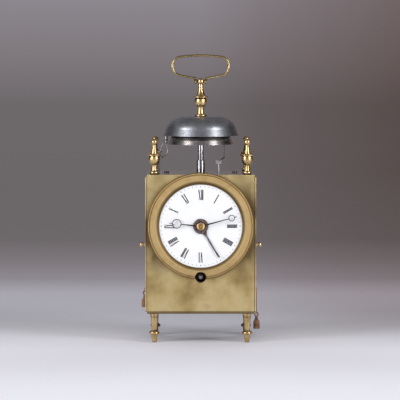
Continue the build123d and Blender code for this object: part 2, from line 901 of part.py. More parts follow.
def minute_wheel():
    """Turned by the cannon pinion; its own pinion turns the hour wheel."""
    toward = heading(minute_at, centre_at)
    y0 = plate_a - minute_wheel_step
    y1 = y0 + wheel_thick
    front = plate_a - minute_stud_length + 0.5
    wheel = spoked(minute_at, minute_teeth, minute_module, toward, y0, wheel_thick, arms=lifting_pins)
    wheel += pinion(minute_at, hour_leaves, hour_module, front, y0, toward)
    for pin in range(lifting_pins):
        wheel += rod(reach(minute_at, pin * 360 / lifting_pins, lifting_pin_at), y1, y1 + 1.1, 0.4)
    return wheel - rod(minute_at, front, y1, arbor_radius + slip)


def hour_wheel():
    """The hour wheel and its pipe, which turns on the cannon pinion's pipe."""
    y0 = plate_a - hour_wheel_step
    end = front_y - hour_level - hand_thick
    wheel = spoked(centre_at, hour_teeth, hour_module, heading(centre_at, minute_at), y0, wheel_thick)
    wheel += rod(centre_at, end, y0 + wheel_thick, hour_pipe_radius)
    return wheel - rod(centre_at, end, y0 + wheel_thick, pipe_radius + slip)


def centre_arbor():
    """The hour-long arbor, out through the dial, with its wheel, its pinion and the hands' taper pin."""
    end = front_y - front_reach
    y0 = inward(centre_plane)
    toward = heading(centre_at, third_at)
    wheel = spoked(centre_at, centre_teeth, centre_module, toward, y0, wheel_thick, turn=20)
    shaft = rod(centre_at, end, inside_b - shake, centre_radius)
    shaft += rod(centre_at, inside_b - shake, plate_b, pivot_radius)
    toward = heading(centre_at, inner_at)
    leaves = driven(centre_at, inner_leaves, inner_module, inner_plane, wheel_thick, toward)
    pin_y = front_y - collet_level - collet_height - taper_pin
    pin = bar(pin_y, dial_z, -taper_pin_half, taper_pin_half, taper_pin)
    return wheel + hub(centre_at, y0, wheel_thick) + shaft + leaves + pin


def inner_wheel():
    """Between the barrel and the centre pinion."""
    y0 = inward(inner_plane)
    toward = heading(inner_at, winding_at)
    wheel = spoked(inner_at, inner_teeth, inner_module, heading(inner_at, centre_at), y0, wheel_thick)
    leaves = driven(inner_at, great_leaves, great_module, barrel_plane, barrel_teeth_thick, toward)
    return wheel + hub(inner_at, y0, wheel_thick) + arbor(inner_at) + leaves


def third_wheel():
    y0 = inward(third_plane)
    wheel = spoked(third_at, third_teeth, third_module, heading(third_at, escape_at), y0, wheel_thick)
    toward = heading(third_at, centre_at)
    leaves = driven(third_at, centre_leaves, centre_module, centre_plane, wheel_thick, toward)
    return wheel + hub(third_at, y0, wheel_thick) + arbor(third_at, fine_arbor) + leaves


def escape_wheel():
    """Raked teeth, and the last pinion of the train."""
    points = []
    pitch = 360 / escape_teeth
    for tooth in range(escape_teeth):
        start = tooth * pitch
        points.append(reach((0, 0), start, escape_radius))
        points.append(reach((0, 0), start + 0.09 * pitch, escape_radius))
        points.append(reach((0, 0), start + 0.36 * pitch, escape_radius - escape_depth))
    y0 = inward(escape_plane)
    rim = escape_radius - escape_depth - 0.6 * rim_width
    shape = Polygon(*points, align=None) - Circle(rim) + Circle(hub_radius) + spokes(rim, 4)
    toward = heading(escape_at, third_at)
    leaves = driven(escape_at, third_leaves, third_module, third_plane, wheel_thick, toward)
    return slab(shape, escape_at, y0, y0 + thin_wheel) + arbor(escape_at, finest_arbor) + leaves


def pallet(side, turn):
    """A corner of a pallet, as (x, z) from the anchor's arbor, round the escape wheel from its top."""
    return reach((0, -anchor_drop), 90 - side * turn, escape_radius + pallet_clear)


def anchor():
    """The recoil anchor on its arbor, with the crutch that holds the pendulum rod in its fork."""
    left_in, left_out = pallet(-1, pallet_inner), pallet(-1, pallet_outer)
    right_in, right_out = pallet(1, pallet_inner), pallet(1, pallet_outer)
    shape = Polygon(
        left_in,
        left_out,
        (left_out[0] - 0.4, left_out[1] + 3.6),
        (-2.4, 2.6),
        (2.4, 2.6),
        (right_out[0] + 0.4, right_out[1] + 3.6),
        right_out,
        right_in,
        (right_in[0] - 0.2, right_in[1] + 2.4),
        (1.6, -1.8),
        (-1.6, -1.8),
        (left_in[0] + 0.2, left_in[1] + 2.4),
        align=None,
    )
    y0 = inward(escape_plane) - 0.5
    arms = slab(shape, anchor_at, y0, y0 + 2 * thin_wheel) + arbor(anchor_at, fine_arbor)
    return arms + crutch()


def crutch():
    """A strip down behind the back plate, and a fork with a prong on each side of the pendulum rod."""
    y0 = plate_b + crutch_step
    y1 = y0 + crutch_thick
    low = anchor_z - crutch_length
    piece = rod(anchor_at, plate_b, y1, pivot_radius)
    piece += slab(strip([anchor_at, (0, low)], crutch_width), (0, 0), y0, y1)
    inner = pendulum_rod + air
    for side in (-1, 1):
        left, right = sorted((side * inner, side * (inner + prong)))
        piece += block(left, right, y0, pendulum_y + 2 * pendulum_rod, low - prong, low + prong)
    return piece + block(-inner - prong, inner + prong, y0, y1, low - prong, low + prong)


def pendulum():
    """A thin rod from an eye down to a round bob, with its rating nut."""
    eye = rod(anchor_at, pendulum_y - eye_half, pendulum_y + eye_half, pendulum_eye)
    eye -= rod(anchor_at, pendulum_y - eye_half, pendulum_y + eye_half, pivot_radius + slip)
    stem_top = anchor_z - pendulum_eye + 0.5
    stem = upright(0, pendulum_y, bob_z - bob_radius - 3.0, stem_top, pendulum_rod)
    half = bob_thick / 2
    lens = faced(
        (0, -half),
        ((bob_radius * 0.6, -half * 0.8), (bob_radius, -0.6)),
        (bob_radius, 0.6),
        ((bob_radius * 0.6, half * 0.8), (0, half)),
    )
    bob = Pos(0, pendulum_y, bob_z) * lens
    nut = upright(0, pendulum_y, bob_z - bob_radius - 2.6, bob_z - bob_radius - 1.0, 2.0)
    return eye + stem + bob + nut


# Power: one barrel drives the going train, and its arbor drives the striking train


def drum_front():
    """Inner face of the barrel's front end, which carries the teeth."""
    return inward(barrel_plane) + barrel_teeth_thick


def cap_front():
    """Inner face of the barrel's cap."""
    return drum_front() + barrel_length - barrel_wall


def barrel():
    """The drum, with the great wheel's teeth round its front end."""
    y0, y1, end = inward(barrel_plane), drum_front(), cap_front()
    teeth = wheel_teeth(great_teeth, great_module, heading(winding_at, inner_at))
    drum = slab(teeth, winding_at, y0, y1) + rod(winding_at, y1, end, barrel_radius)
    drum -= rod(winding_at, y1, end, barrel_radius - barrel_wall)
    return drum - rod(winding_at, y0, y1, winding_radius + slip)


def barrel_cap():
    cap = rod(winding_at, cap_front(), cap_front() + barrel_wall, barrel_radius)
    return cap - rod(winding_at, cap_front(), cap_front() + barrel_wall, winding_radius + slip)


def half_turn_arcs(first, step, count):
    """Arcs of a spiral whose radius grows by a step in each half turn."""
    arcs = []
    for turn in range(count):
        side = 1 if turn % 2 == 0 else -1
        start = side * (first + turn * step)
        end = start + side * step
        arcs.append(ThreePointArc((start, 0), ((start - end) / 2, (start + end) / 2), (-end, 0)))
    return arcs


def mainspring():
    """A long steel ribbon coiled in the barrel, as half turns of growing radius."""
    first = spring_core + 2 * spring_thick
    room = barrel_radius - barrel_wall - air - spring_thick - first
    half_turns = 2 * int(room / (2 * spring_step))
    inner = half_turn_arcs(first, spring_step, half_turns)
    outer = half_turn_arcs(first + spring_thick, spring_step, half_turns)
    ends = [Line(inner[0] @ 0, outer[0] @ 0), Line(inner[-1] @ 1, outer[-1] @ 1)]
    y0, y1 = drum_front() + 2 * air, cap_front() - 2 * air
    return slab(make_face(inner + outer + ends), winding_at, y0, y1)


def winding_arbor():
    """The key square, the ratchet and the spring's core, all on one arbor."""
    ratchet = []
    for tooth in range(ratchet_teeth):
        ratchet.append(reach((0, 0), tooth * 360 / ratchet_teeth, ratchet_radius))
        ratchet.append(reach((0, 0), (tooth + 0.85) * 360 / ratchet_teeth, ratchet_radius - ratchet_depth))
    square_end = plate_a - 1.0
    shaft = rod(winding_at, inside_a + shake, inside_b - shake, winding_radius)
    shaft += rod(winding_at, square_end, inside_a + shake, winding_neck)
    shaft += rod(winding_at, inside_b - shake, plate_b, winding_pivot)
    shaft += slab(Rectangle(key_square, key_square), winding_at, front_y - square_stub, square_end)
    y0 = strike_back() + 2 * air
    shaft += slab(Polygon(*ratchet, align=None), winding_at, y0, y0 + ratchet_thick)
    collar = inward(winding_collar_plane)
    shaft += rod(winding_at, collar, inward(strike_plane) - 2 * air, 1.7 * winding_radius)
    return shaft + rod(winding_at, drum_front() + air, cap_front() - air, spring_core)


def strike_back():
    """Back face of the strike great wheel."""
    return inward(strike_plane) + great_thick


def strike_great_wheel():
    """Loose on the winding arbor, and turned by it through the click."""
    y0, y1 = inward(strike_plane), strike_back()
    teeth = wheel_teeth(great_teeth, great_module, heading(winding_at, pin_at))
    wheel = slab(teeth, winding_at, y0, y1)
    wheel -= rod(click_at, y0, y1, pivot_radius + slip)
    return wheel - rod(winding_at, y0, y1, winding_radius + slip)


def strike_click():
    """The click on its pivot and its curved spring, on the back of the strike great wheel."""
    back = strike_back()
    pawl = slab(strip([(0, 0), (-3.8, 1.2)], 2.0), click_at, back + shake, back + shake + ratchet_thick)
    pawl += rod(click_at, inward(strike_plane), back + shake + ratchet_thick, pivot_radius)
    outer, inner = click_spring_radius, click_spring_radius - click_spring_thick
    spring = outline(
        reach((0, 0), 60, outer),
        (reach((0, 0), 90, outer), reach((0, 0), 120, outer)),
        reach((0, 0), 120, inner),
        (reach((0, 0), 90, inner), reach((0, 0), 60, inner)),
    )
    return [pawl, slab(spring, winding_at, back, back + ratchet_thick)]


# Striking train


def pin_wheel():
    """Its pins lift the hammer; a pinion behind the plate turns the count wheel."""
    y0 = inward(pin_plane)
    y1 = y0 + wheel_thick
    wheel = spoked(pin_at, pin_teeth, pin_module, heading(pin_at, warn_at), y0, wheel_thick)
    wheel += hub(pin_at, y0, wheel_thick) + arbor(pin_at)
    for pin in range(strike_pins):
        wheel += rod(reach(pin_at, pin * 360 / strike_pins, strike_pins_at), y1, y1 + strike_pin_length, 0.6)
    toward = heading(pin_at, winding_at)
    wheel += driven(pin_at, great_leaves, great_module, strike_plane, great_thick, toward)
    low, high = count_front - 0.4, count_front + wheel_thick + 0.2
    wheel += rod(pin_at, plate_b, high, pivot_radius)
    return wheel + pinion(pin_at, count_leaves, count_module, low, high, heading(pin_at, count_at))


def warning_wheel():
    y0 = inward(warn_plane)
    wheel = spoked(warn_at, warn_teeth, warn_module, heading(warn_at, fly_at), y0, thin_wheel)
    wheel += hub(warn_at, y0, thin_wheel) + arbor(warn_at, fine_arbor)
    return wheel + driven(warn_at, pin_leaves, pin_module, pin_plane, wheel_thick, heading(warn_at, pin_at))


def fly():
    """The air brake that steadies the striking."""
    y0 = inward(fly_plane)
    vane = Rot(0, 25, 0) * Box(fly_width, fly_length, fly_thick)
    vane = Pos(fly_at[0], y0 + fly_length / 2, fly_at[1]) * vane
    leaves = driven(fly_at, warn_leaves, warn_module, warn_plane, thin_wheel, heading(fly_at, warn_at))
    return arbor(fly_at, finest_arbor) + rod(fly_at, y0, y0 + fly_length, 3 * fly_thick) + vane + leaves


def count_wheel():
    """Notches in a ring on its face count the strokes of each hour and of the half hour after it."""
    toward = heading(count_at, pin_at)
    y1 = count_front + wheel_thick
    wheel = spoked(count_at, count_teeth, count_module, toward, count_front, wheel_thick, arms=5)
    outer = count_module * (count_teeth / 2 - wheel_root)
    ring = Circle(outer) - Circle(outer - count_ring)
    strokes = 0
    for hour in range(1, 13):
        strokes += hour + 1
        notch = Pos(outer, 0) * Rectangle(count_ring, 1.6)
        ring -= Rot(0, 0, (strokes - 0.5) * 360 / count_teeth) * notch
    wheel += slab(ring, count_at, y1, y1 + wheel_thick)
    return wheel - rod(count_at, count_front, y1, arbor_radius + slip)


def count_wheel_stud():
    """A shouldered stud in the back plate, with a cap behind the wheel."""
    cap = count_front + wheel_thick + shake
    shaft = rod(count_at, inside_b, cap, arbor_radius)
    shaft += rod(count_at, plate_b, count_front - shake, 2 * arbor_radius)
    return shaft + rod(count_at, cap, cap + cap_thick, 1.8 * arbor_radius)


def release_lever():
    """Lifted by the minute wheel in front, it frees the count wheel behind the movement."""
    front_tip = reach(minute_at, heading(minute_at, lever_at), lifting_pin_at + 2 * lever_width / 2)
    rear_tip = reach(count_at, 125.0, count_module * (count_teeth / 2 + 1) + lever_width)
    y0 = plate_a - minute_wheel_step + wheel_thick + 2 * shake
    y1 = count_front + wheel_thick
    shaft = arbor(lever_at, finest_arbor) + rod(lever_at, y0, y1, pivot_radius)
    front = slab(strip([lever_at, front_tip], lever_width), (0, 0), y0, y0 + lever_thick)
    rear = slab(strip([lever_at, rear_tip], lever_width), (0, 0), count_front, y1)
    return shaft + front + rear


# Movement plates


def movement_plate(y0, y1, holes):
    """A plate with a pivot hole for each arbor and the other holes given, as ((x, z), radius)."""
    plate = block(-movement_half, movement_half, y0, y1, floor_z, ceiling_z)
    pivots = [inner_at, third_at, escape_at, anchor_at, pin_at, warn_at, fly_at, lever_at, hammer_at]
    for at, radius in [(at, pivot_radius + slip) for at in pivots] + holes:
        plate -= rod(at, y0, y1, radius)
    return plate


def movement_front_plate():
    holes = [(centre_at, centre_radius + slip), (winding_at, winding_neck + slip), (minute_at, arbor_radius)]
    return movement_plate(plate_a, inside_a, holes)


def movement_back_plate():
    holes = [(centre_at, pivot_radius + slip), (winding_at, winding_pivot + slip), (count_at, arbor_radius)]
    holes += [(at, pillar_end + slip) for at in foot_pillars + top_pillars]
    return movement_plate(inside_b, plate_b, holes)


def pillars():
    """Two turned pillars below and two square ones above, which the top screws enter."""
    made = []
    half = pillar_size / 2
    for at in foot_pillars:
        made.append(rod(at, inside_a, inside_b, foot_pillar_radius) + pillar_tail(at))
    for at in top_pillars:
        pillar = block(at[0] - half, at[0] + half, inside_a, inside_b, at[1] - half, at[1] + half)
        hole = upright(at[0], mid_y, ceiling_z - top_screw_depth - slip, ceiling_z, top_screw_radius + slip)
        made.append(pillar + pillar_tail(at) - hole)
    return made


def pillar_tail(at):
    """The end of a pillar behind the back plate, with a cross hole for its taper pin."""
    hole = bar(pillar_pin_y, at[1], at[0] - pillar_end, at[0] + pillar_end, pillar_pin_radius + slip)
    return rod(at, inside_b, plate_b + pillar_end_length, pillar_end) - hole


def pillar_pins():
    made = []
    for x, z in foot_pillars + top_pillars:
        made.append(bar(pillar_pin_y, z, x - pillar_pin_half, x + pillar_pin_half, pillar_pin_radius))
    return made


def top_screws():
    """The two screws that hang the movement from the top plate."""
    made = []
    for x, _ in top_pillars:
        head_top = top_z + top_screw_head_height
        screw = upright(x, mid_y, ceiling_z - top_screw_depth, top_z, top_screw_radius)
        screw += upright(x, mid_y, top_z, head_top, top_screw_head)
        slot = Box(2 * top_screw_head + 1, 0.25 * top_screw_head, 0.8 * top_screw_head_height)
        made.append(screw - Pos(x, mid_y, head_top) * Rot(0, 0, 30) * slot)
    return made


def suspension_cock():
    """A bracket on the back plate with two cheeks for the pendulum's pin."""
    low = anchor_z + cock_clear
    top = low + cock_thick
    back = pendulum_y + cheek_gap / 2 + cheek_thick
    cock = block(-cock_half, cock_half, plate_b, plate_b + 0.8 * cock_thick, low, top + cock_ear)
    cock += block(-cheek_half, cheek_half, plate_b, back, low, top)
    for y in (pendulum_y - cheek_gap / 2 - cheek_thick, pendulum_y + cheek_gap / 2):
        cheek = block(-cheek_half, cheek_half, y, y + cheek_thick, anchor_z - cheek_half, top)
        cock += cheek - rod(anchor_at, y, y + cheek_thick, pivot_radius)
    return cock


def suspension_pin():
    half = cheek_gap / 2 + cheek_thick
    return rod(anchor_at, pendulum_y - half, pendulum_y + half, pivot_radius - 0.02)


# Bells


def bell_stand():
    neck_z = lower_bell_top - bell_wall - top_z
    stud_z = upper_bell_top + stem_bore - slip - top_z
    edge = 0.3
    return Pos(0, mid_y, top_z) * turned(
        (0, -top_thick),
        (stand_neck, -top_thick),
        (stand_neck, 0),
        (stand_radius, 0),
        (stand_radius, stand_step - edge),
        (stand_radius - edge, stand_step),
        (stand_neck, stand_step),
        (stand_neck, neck_z),
        (bell_stud, neck_z),
        (bell_stud, stud_z),
        (0, stud_z),
    )


def bell(radius, depth, top):
    """A shallow bell: a flat crown, a round shoulder and a slightly flared wall."""
    w = bell_wall
    return Pos(0, mid_y, top) * turned(
        (bell_stud + slip, 0),
        (0.16 * radius, 0),
        (0.31 * radius, -0.03 * depth),
        ((0.70 * radius, -0.13 * depth), (0.838 * radius, -0.31 * depth)),
        ((0.895 * radius, -0.47 * depth), (0.93 * radius, -0.645 * depth)),
        (radius, -depth),
        (radius - w, -depth),
        (0.93 * radius - w, -0.645 * depth),
        ((0.895 * radius - w, -0.47 * depth - 0.1 * w), (0.838 * radius - 0.7 * w, -0.31 * depth - 0.7 * w)),
        ((0.70 * radius - 0.3 * w, -0.13 * depth - 0.95 * w), (0.31 * radius, -0.03 * depth - w)),
        (0.16 * radius, -w),
        (bell_stud + slip, -w),
    )


def lower_bell():
    return bell(lower_bell_radius, lower_bell_depth, lower_bell_top)


def upper_bell():
    return bell(upper_bell_radius, upper_bell_depth, upper_bell_top)


def bell_spacer():
    low, high = lower_bell_top, upper_bell_top - bell_wall
    return upright(0, mid_y, low, high, spacer_radius) - upright(0, mid_y, low, high, bell_stud + slip)


def handle_stem():
    """A turned cup and spire on the upper bell, with a round head for the handle's pin."""
    lip, pin = stem_lip_radius, stem_height
    stem = turned(
        (bell_stud + slip, 0),
        (5.9, 0),
        ((6.1, 1.0), (5.6, 1.9)),
        (4.0, 2.4),
        ((3.3, 5.6), (3.5, 9.4)),
        (4.6, 10.0),
        ((6.0, 13.0), (6.1, 17.4)),
        (5.3, 18.0),
        (lip - 0.3, 18.9),
        ((lip, 19.6), (lip - 0.5, 20.2)),
        (5.0, 20.8),
        ((3.2, 25.2), (2.4, 31.4)),
        *ball_end(head_radius, pin, 2.2),
        (0, stem_bore),
        (bell_stud + slip, stem_bore),
    )
    bore = bar(mid_y, handle_z, -head_radius, head_radius, handle_pin + slip)
    return Pos(0, mid_y, upper_bell_top) * stem - bore


def handle_pivot():
    """The pin through the head of the stem, riveted over outside the handle's eyes."""
    end = eye_outside + 2 * slip
    pin = bar(mid_y, handle_z, -end, end, handle_pin)
    for side in (-1, 1):
        left, right = sorted((side * end, side * (end + rivet_thick)))
        pin += bar(mid_y, handle_z, left, right, rivet_radius)
    return pin


def handle():
    """A flat oval of wire, bowed along its top, that ends in two eyes on the pin."""
    wide = handle_half - handle_wire
    inner = eye_inside + 0.25 * handle_wire
    start = handle_z + eye_rise
    low = start + loop_rise
    slope = radians(crown_slope)
    peak = handle_top - handle_wire + crown_bend * (1 / cos(slope) - 1)
    shoulder = peak - wide * tan(slope)
    path = Plane((0, mid_y, 0), x_dir=(1, 0, 0), z_dir=(0, -1, 0)) * FilletPolyline(
        (-inner, start),
        (-wide, low),
        (-wide, shoulder),
        (0, peak),
        (wide, shoulder),
        (wide, low),
        (inner, start),
        radius=[handle_bend, handle_bend, crown_bend, handle_bend, handle_bend],
    )
    loop = wire(path, handle_wire)
    for side in (-1, 1):
        left, right = sorted((side * eye_inside, side * eye_outside))
        loop += bar(mid_y, handle_z, left, right, eye_radius)
    return loop - bar(mid_y, handle_z, -eye_outside, eye_outside, handle_pin + slip)


# Hammers


def in_front_plane(path, y):
    return Plane((0, y, 0), x_dir=(1, 0, 0), z_dir=(0, -1, 0)) * path


def strike_hammer():
    """An arbor in the movement with a tail to the pin wheel and a strip up through the top plate."""
    bottom = ceiling_z - pillar_size - 2.0
    y0, y1 = mid_y - strip_thick / 2, mid_y + strip_thick / 2
    arm = strip([hammer_at, (strip_x, bottom), (strip_x, top_z + 4)], strip_width * 0.8)
    arm += strip([(strip_x, top_z - 1), (strip_x, top_z + 6), hammer_boss], strip_width * 0.7)
    body = arbor(hammer_at) + rod(hammer_at, y0 - 1.5, y1 + 1.5, hub_radius) + slab(arm, (0, 0), y0, y1)
    tail_end = reach(pin_at, tail_turn, strike_pins_at + tail_clear)
    tail_y = inward(pin_plane) + wheel_thick + 2 * air
    body += slab(strip([hammer_at, tail_end], tail_width), (0, 0), tail_y, tail_y + wheel_thick)
    body += rod(hammer_boss, y0 - 0.9, y1 + 0.9, boss_radius)
    head = hammer_head_x
    path = FilletPolyline(
        (hammer_boss[0] + 0.4, hammer_boss[1] - 0.4),
        (hammer_boss[0] + 1.9, hammer_boss[1] - 2.6),
        (head + 0.6, hammer_boss[1] + 1.0),
        (head + 1.6, hammer_boss[1] + 5.2),
        (head, head_low + 0.4),
        radius=[1.2, 1.6, 3.0],
    )
    return body + wire(in_front_plane(path, mid_y), neck_wire)


def hammer_head():
    """The brass head, screwed on the end of the swan neck."""
    r = hammer_head_radius
    high = hammer_head_length
    shape = turned(
        (0, 0),
        (0.8, 0),
        ((r, 1.9), (1.2, 3.6)),
        (1.3, 4.0),
        (r, 4.4),
        (r + 0.1, high - 0.2),
        (0, high),
    )
    return Pos(hammer_head_x, mid_y, head_low) * shape


def hammer_spring():
    """A straight wire from the hammer's boss that steadies its head."""
    start = (hammer_boss[0] - 0.9, hammer_boss[1] + boss_radius)
    end = (hammer_head_x - 2.9, head_low + 1.2)
    return wire(in_front_plane(Line(start, end), mid_y), 0.35) + Pos(end[0], mid_y, end[1]) * Sphere(0.8)


def alarm_hammer():
    """A vertical staff with two verge pallets, an arm over the top plate and the hammer rod."""
    staff = upright(staff_x, staff_y, floor_z + air, top_z + collar_rise, staff_radius)
    staff += upright(staff_x, staff_y, foot_height, floor_z + air, pivot_radius)
    for side in (-1, 1):
        x = staff_x + side * 1.25 * staff_radius
        z = pulley_z + side * (crown_radius - crown_wall)
        staff += block(x - 0.8, x + 0.8, staff_y, staff_y + verge_reach, z - 0.9, z + 0.9)
    collar_z = top_z + collar_rise
    collar = Pos(staff_x, staff_y, collar_z) * Box(collar_width, collar_depth, collar_height)
    rod_x, rod_y = alarm_rod_at
    knee = top_z + knee_height
    lift = Line((staff_x, staff_y, collar_z), (rod_x, rod_y, knee))
    arm = sweep(Plane(origin=lift @ 0, z_dir=lift % 0) * Circle(alarm_rod_radius), lift)
    arm += Pos(rod_x, rod_y, knee) * Sphere(alarm_rod_radius + slip)
    return staff + collar + arm + upright(rod_x, rod_y, knee, alarm_head_z, alarm_rod_radius)


def alarm_head():
    """The hammer's head, just inside the rim of the lower bell, pointing at it."""
    rod_x, rod_y = alarm_rod_at
    out = hypot(rod_x, rod_y - mid_y)
    tip = lower_bell_radius - bell_wall - alarm_head_gap
    head = bar(0, alarm_head_z, out - 2 * alarm_rod_radius, tip, alarm_head_radius)
    head = Pos(0, mid_y, 0) * Rot(0, 0, degrees(atan2(rod_y - mid_y, rod_x))) * head
    low = alarm_head_z - 1.5 * alarm_head_radius
    return head - upright(rod_x, rod_y, low, alarm_head_z, alarm_rod_radius)


# Alarm


def alarm_pulley():
    """The cord's pulley, and the crown wheel on the front of the same arbor."""
    half = pulley_width / 2
    groove = half - pulley_lip
    sheave = faced(
        (0, -half),
        (pulley_flange, -half),
        (pulley_flange, -groove - 0.3),
        (pulley_groove, -groove),
        (pulley_groove, groove),
        (pulley_flange, groove + 0.3),
        (pulley_flange, half),
        (0, half),
    )
    at = (staff_x, pulley_z)
    disc, disc_back = crown_tips + crown_depth, crown_tips + crown_depth + crown_disc
    rim = crown_radius - crown_wall - 1.0
    shape = Circle(crown_radius) - Circle(rim) + Circle(hub_radius) + spokes(rim, 4)
    wheel = slab(shape, at, disc, disc_back)
    wheel += rod(at, disc, cord_y + half + bracket_gap + bracket_thick, arbor_radius)
    band = rod(at, crown_tips, disc, crown_radius) - rod(at, crown_tips, disc, crown_radius - crown_wall)
    gap = Pos(crown_radius, 0) * Rectangle(4 * crown_wall, 0.6 * radians(360 / crown_teeth) * crown_radius)
    for tooth in range(crown_teeth):
        band -= slab(Rot(0, 0, tooth * 360 / crown_teeth) * gap, at, crown_tips, disc - 0.5)
    return Pos(at[0], cord_y, at[1]) * sheave + wheel + band


def alarm_bracket():
    """A foot on the base plate with two uprights that carry the pulley's arbor."""
    at = (staff_x, pulley_z)
    front = crown_tips + crown_depth + crown_disc + bracket_gap
    back = cord_y + pulley_width / 2 + bracket_gap
    end = back + bracket_thick
    half = 2 * bracket_half / 3
    bracket = block(staff_x - bracket_half, staff_x + bracket_half, front, end, floor_z, floor_z + 1.6)
    for y in (front, back):
        bracket += block(staff_x - half, staff_x + half, y, y + bracket_thick, floor_z, pulley_z + half)
    return bracket - rod(at, front, end, arbor_radius + slip)


def alarm_cord():
    """The cord inside the case: once round the pulley, out through the eyelets and over their lips."""
    turn = Helix(pitch=cord_pitch, height=cord_pitch, radius=wrap_radius)
    loop = sweep(Plane(origin=turn @ 0, z_dir=turn % 0) * Circle(cord_radius), turn)
    loop = Pos(staff_x, cord_lines[-1], pulley_z) * Rot(-90, 0, 0) * Rot(0, 0, -90) * loop
    made = [loop]
    for side in (-1, 1):
        out = tassel_x * side
        run = FilletPolyline(
            (staff_x, cord_z),
            (out, cord_z),
            (out, cord_z - cord_bend),
            radius=cord_bend * 0.98,
        )
        made.append(wire(in_front_plane(run, cord_lines[side]), cord_radius))
    return made


def hanging_cord(side, length):
    high = cord_z - cord_bend
    return upright(side * tassel_x, cord_lines[side], high - length, high, cord_radius)


def tassel(side, hang):
    """A ring of cord, a bound neck and a skirt of threads."""
    top = cord_z - cord_bend - hang
    ring_z = top - tassel_ring
    neck_z = top - 2 * tassel_ring - tassel_neck
    middle = Pos(side * tassel_x, cord_lines[side], 0)
    ring = Pos(0, 0, ring_z) * Rot(90, 0, 0) * Torus(tassel_ring - cord_radius, cord_radius)
    neck = upright(0, 0, neck_z - 0.5, ring_z - tassel_ring + 0.6, tassel_neck_radius)
    r, high = tassel_radius, tassel_body
    skirt = turned(
        (0, 0),
        (r - 0.3, 0),
        (r, 0.4),
        (r - 0.2, high - 2.0),
        ((r - 0.9, high - 0.6), (1.2, high)),
        (0, high),
    )
    return middle * (ring + neck + Pos(0, 0, neck_z - high) * skirt)


NODES = {
    "base_plate": base_plate,
    "top_plate": top_plate,
    "corner_posts": corner_posts,
    "front_plate": front_plate,
    "cord_eyelets": cord_eyelets,
    "feet": feet,
    "finials": finials,
    "left_door": lambda: side_door(-1),
    "right_door": lambda: side_door(1),
    "rear_door": rear_door,
    "bezel": bezel,
    "bezel_screws": bezel_screws,
    "dial": dial,
    "hour_hand": hour_hand,
    "minute_hand": minute_hand,
    "alarm_hand": alarm_hand,
    "hand_collet": hand_collet,
    "cannon_pinion": cannon_pinion,
    "minute_wheel": minute_wheel,
    "hour_wheel": hour_wheel,
    "centre_arbor": centre_arbor,
    "inner_wheel": inner_wheel,
    "third_wheel": third_wheel,
    "escape_wheel": escape_wheel,
    "anchor": anchor,
    "pendulum": pendulum,
    "barrel": barrel,
    "barrel_cap": barrel_cap,
    "mainspring": mainspring,
    "winding_arbor": winding_arbor,
    "strike_great_wheel": strike_great_wheel,
    "strike_click": strike_click,
    "pin_wheel": pin_wheel,
    "warning_wheel": warning_wheel,
    "fly": fly,
    "count_wheel": count_wheel,
    "wheel_studs": lambda: [minute_wheel_stud(), count_wheel_stud()],
    "release_lever": release_lever,
    "movement_front_plate": movement_front_plate,
    "movement_back_plate": movement_back_plate,
    "pillars": pillars,
    "pillar_pins": pillar_pins,
    "top_screws": top_screws,
    "suspension_cock": lambda: [suspension_cock(), suspension_pin()],
    "bell_stand": bell_stand,
    "lower_bell": lower_bell,
    "upper_bell": upper_bell,
    "bell_spacer": bell_spacer,
    "handle_stem": handle_stem,
    "handle_pivot": handle_pivot,
    "handle": handle,
    "strike_hammer": lambda: [strike_hammer(), hammer_head(), hammer_spring()],
    "alarm_hammer": lambda: [alarm_hammer(), alarm_head()],
    "alarm_pulley": alarm_pulley,
    "alarm_bracket": alarm_bracket,
    "alarm_cord": alarm_cord,
    "left_cord": lambda: hanging_cord(-1, left_hang),
    "right_cord": lambda: hanging_cord(1, right_hang),
    "left_tassel": lambda: tassel(-1, left_hang),
    "right_tassel": lambda: tassel(1, right_hang),
}


def main():
    os.makedirs("parts", exist_ok=True)
    for name, make in NODES.items():
        made = make()
        solids = made if isinstance(made, list) else [made]
        export_step(Compound(children=solids) if len(solids) > 1 else solids[0], f"parts/{name}.step")


main()
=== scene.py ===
"""Finish, dial marks, cords and tassels of a capucine clock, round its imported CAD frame.

Metres. The dial faces -Y and the feet stand on z = 0. The CAD nodes get their materials here. The
numerals and minute dots are added, and twisted cords and threaded tassels replace the plain ones.
"""

import json
import math
import random

import bmesh
import bpy
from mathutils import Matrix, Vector
from mathutils.bvhtree import BVHTree


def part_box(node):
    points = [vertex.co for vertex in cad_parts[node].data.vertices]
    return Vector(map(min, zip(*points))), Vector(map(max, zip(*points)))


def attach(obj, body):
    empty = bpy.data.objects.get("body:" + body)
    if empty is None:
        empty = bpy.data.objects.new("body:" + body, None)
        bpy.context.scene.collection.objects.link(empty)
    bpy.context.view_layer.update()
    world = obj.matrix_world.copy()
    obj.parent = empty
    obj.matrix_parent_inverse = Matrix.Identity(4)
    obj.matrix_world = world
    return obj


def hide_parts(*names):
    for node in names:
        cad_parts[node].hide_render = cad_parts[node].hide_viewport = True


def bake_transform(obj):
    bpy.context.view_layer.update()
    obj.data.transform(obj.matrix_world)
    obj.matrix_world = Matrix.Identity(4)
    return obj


MM = 0.001

# Dial marks, from the dial's centre
numeral_inner = 26.3 * MM
numeral_outer = 36.3 * MM
thick_stroke = 1.02 * MM
thin_stroke = 0.3 * MM
stroke_pitch = 1.18 * MM
letter_slant = 0.8 * MM  # sideways run of a stroke of V or X
serif = 0.13 * MM  # thickness of the hairline across a stroke's end
serif_reach = 0.22 * MM  # of a serif, beyond its stroke
dot_circle = 39.3 * MM
minute_dot = 0.36 * MM
hour_dot = 0.6 * MM
paint = 0.03 * MM  # the marks stand this far off the enamel
stroke_step = 2 * MM  # a stroke follows the dial's dome in steps of this length
v_foot = 0.1 * MM  # from the foot of a V to the middle of each of its strokes

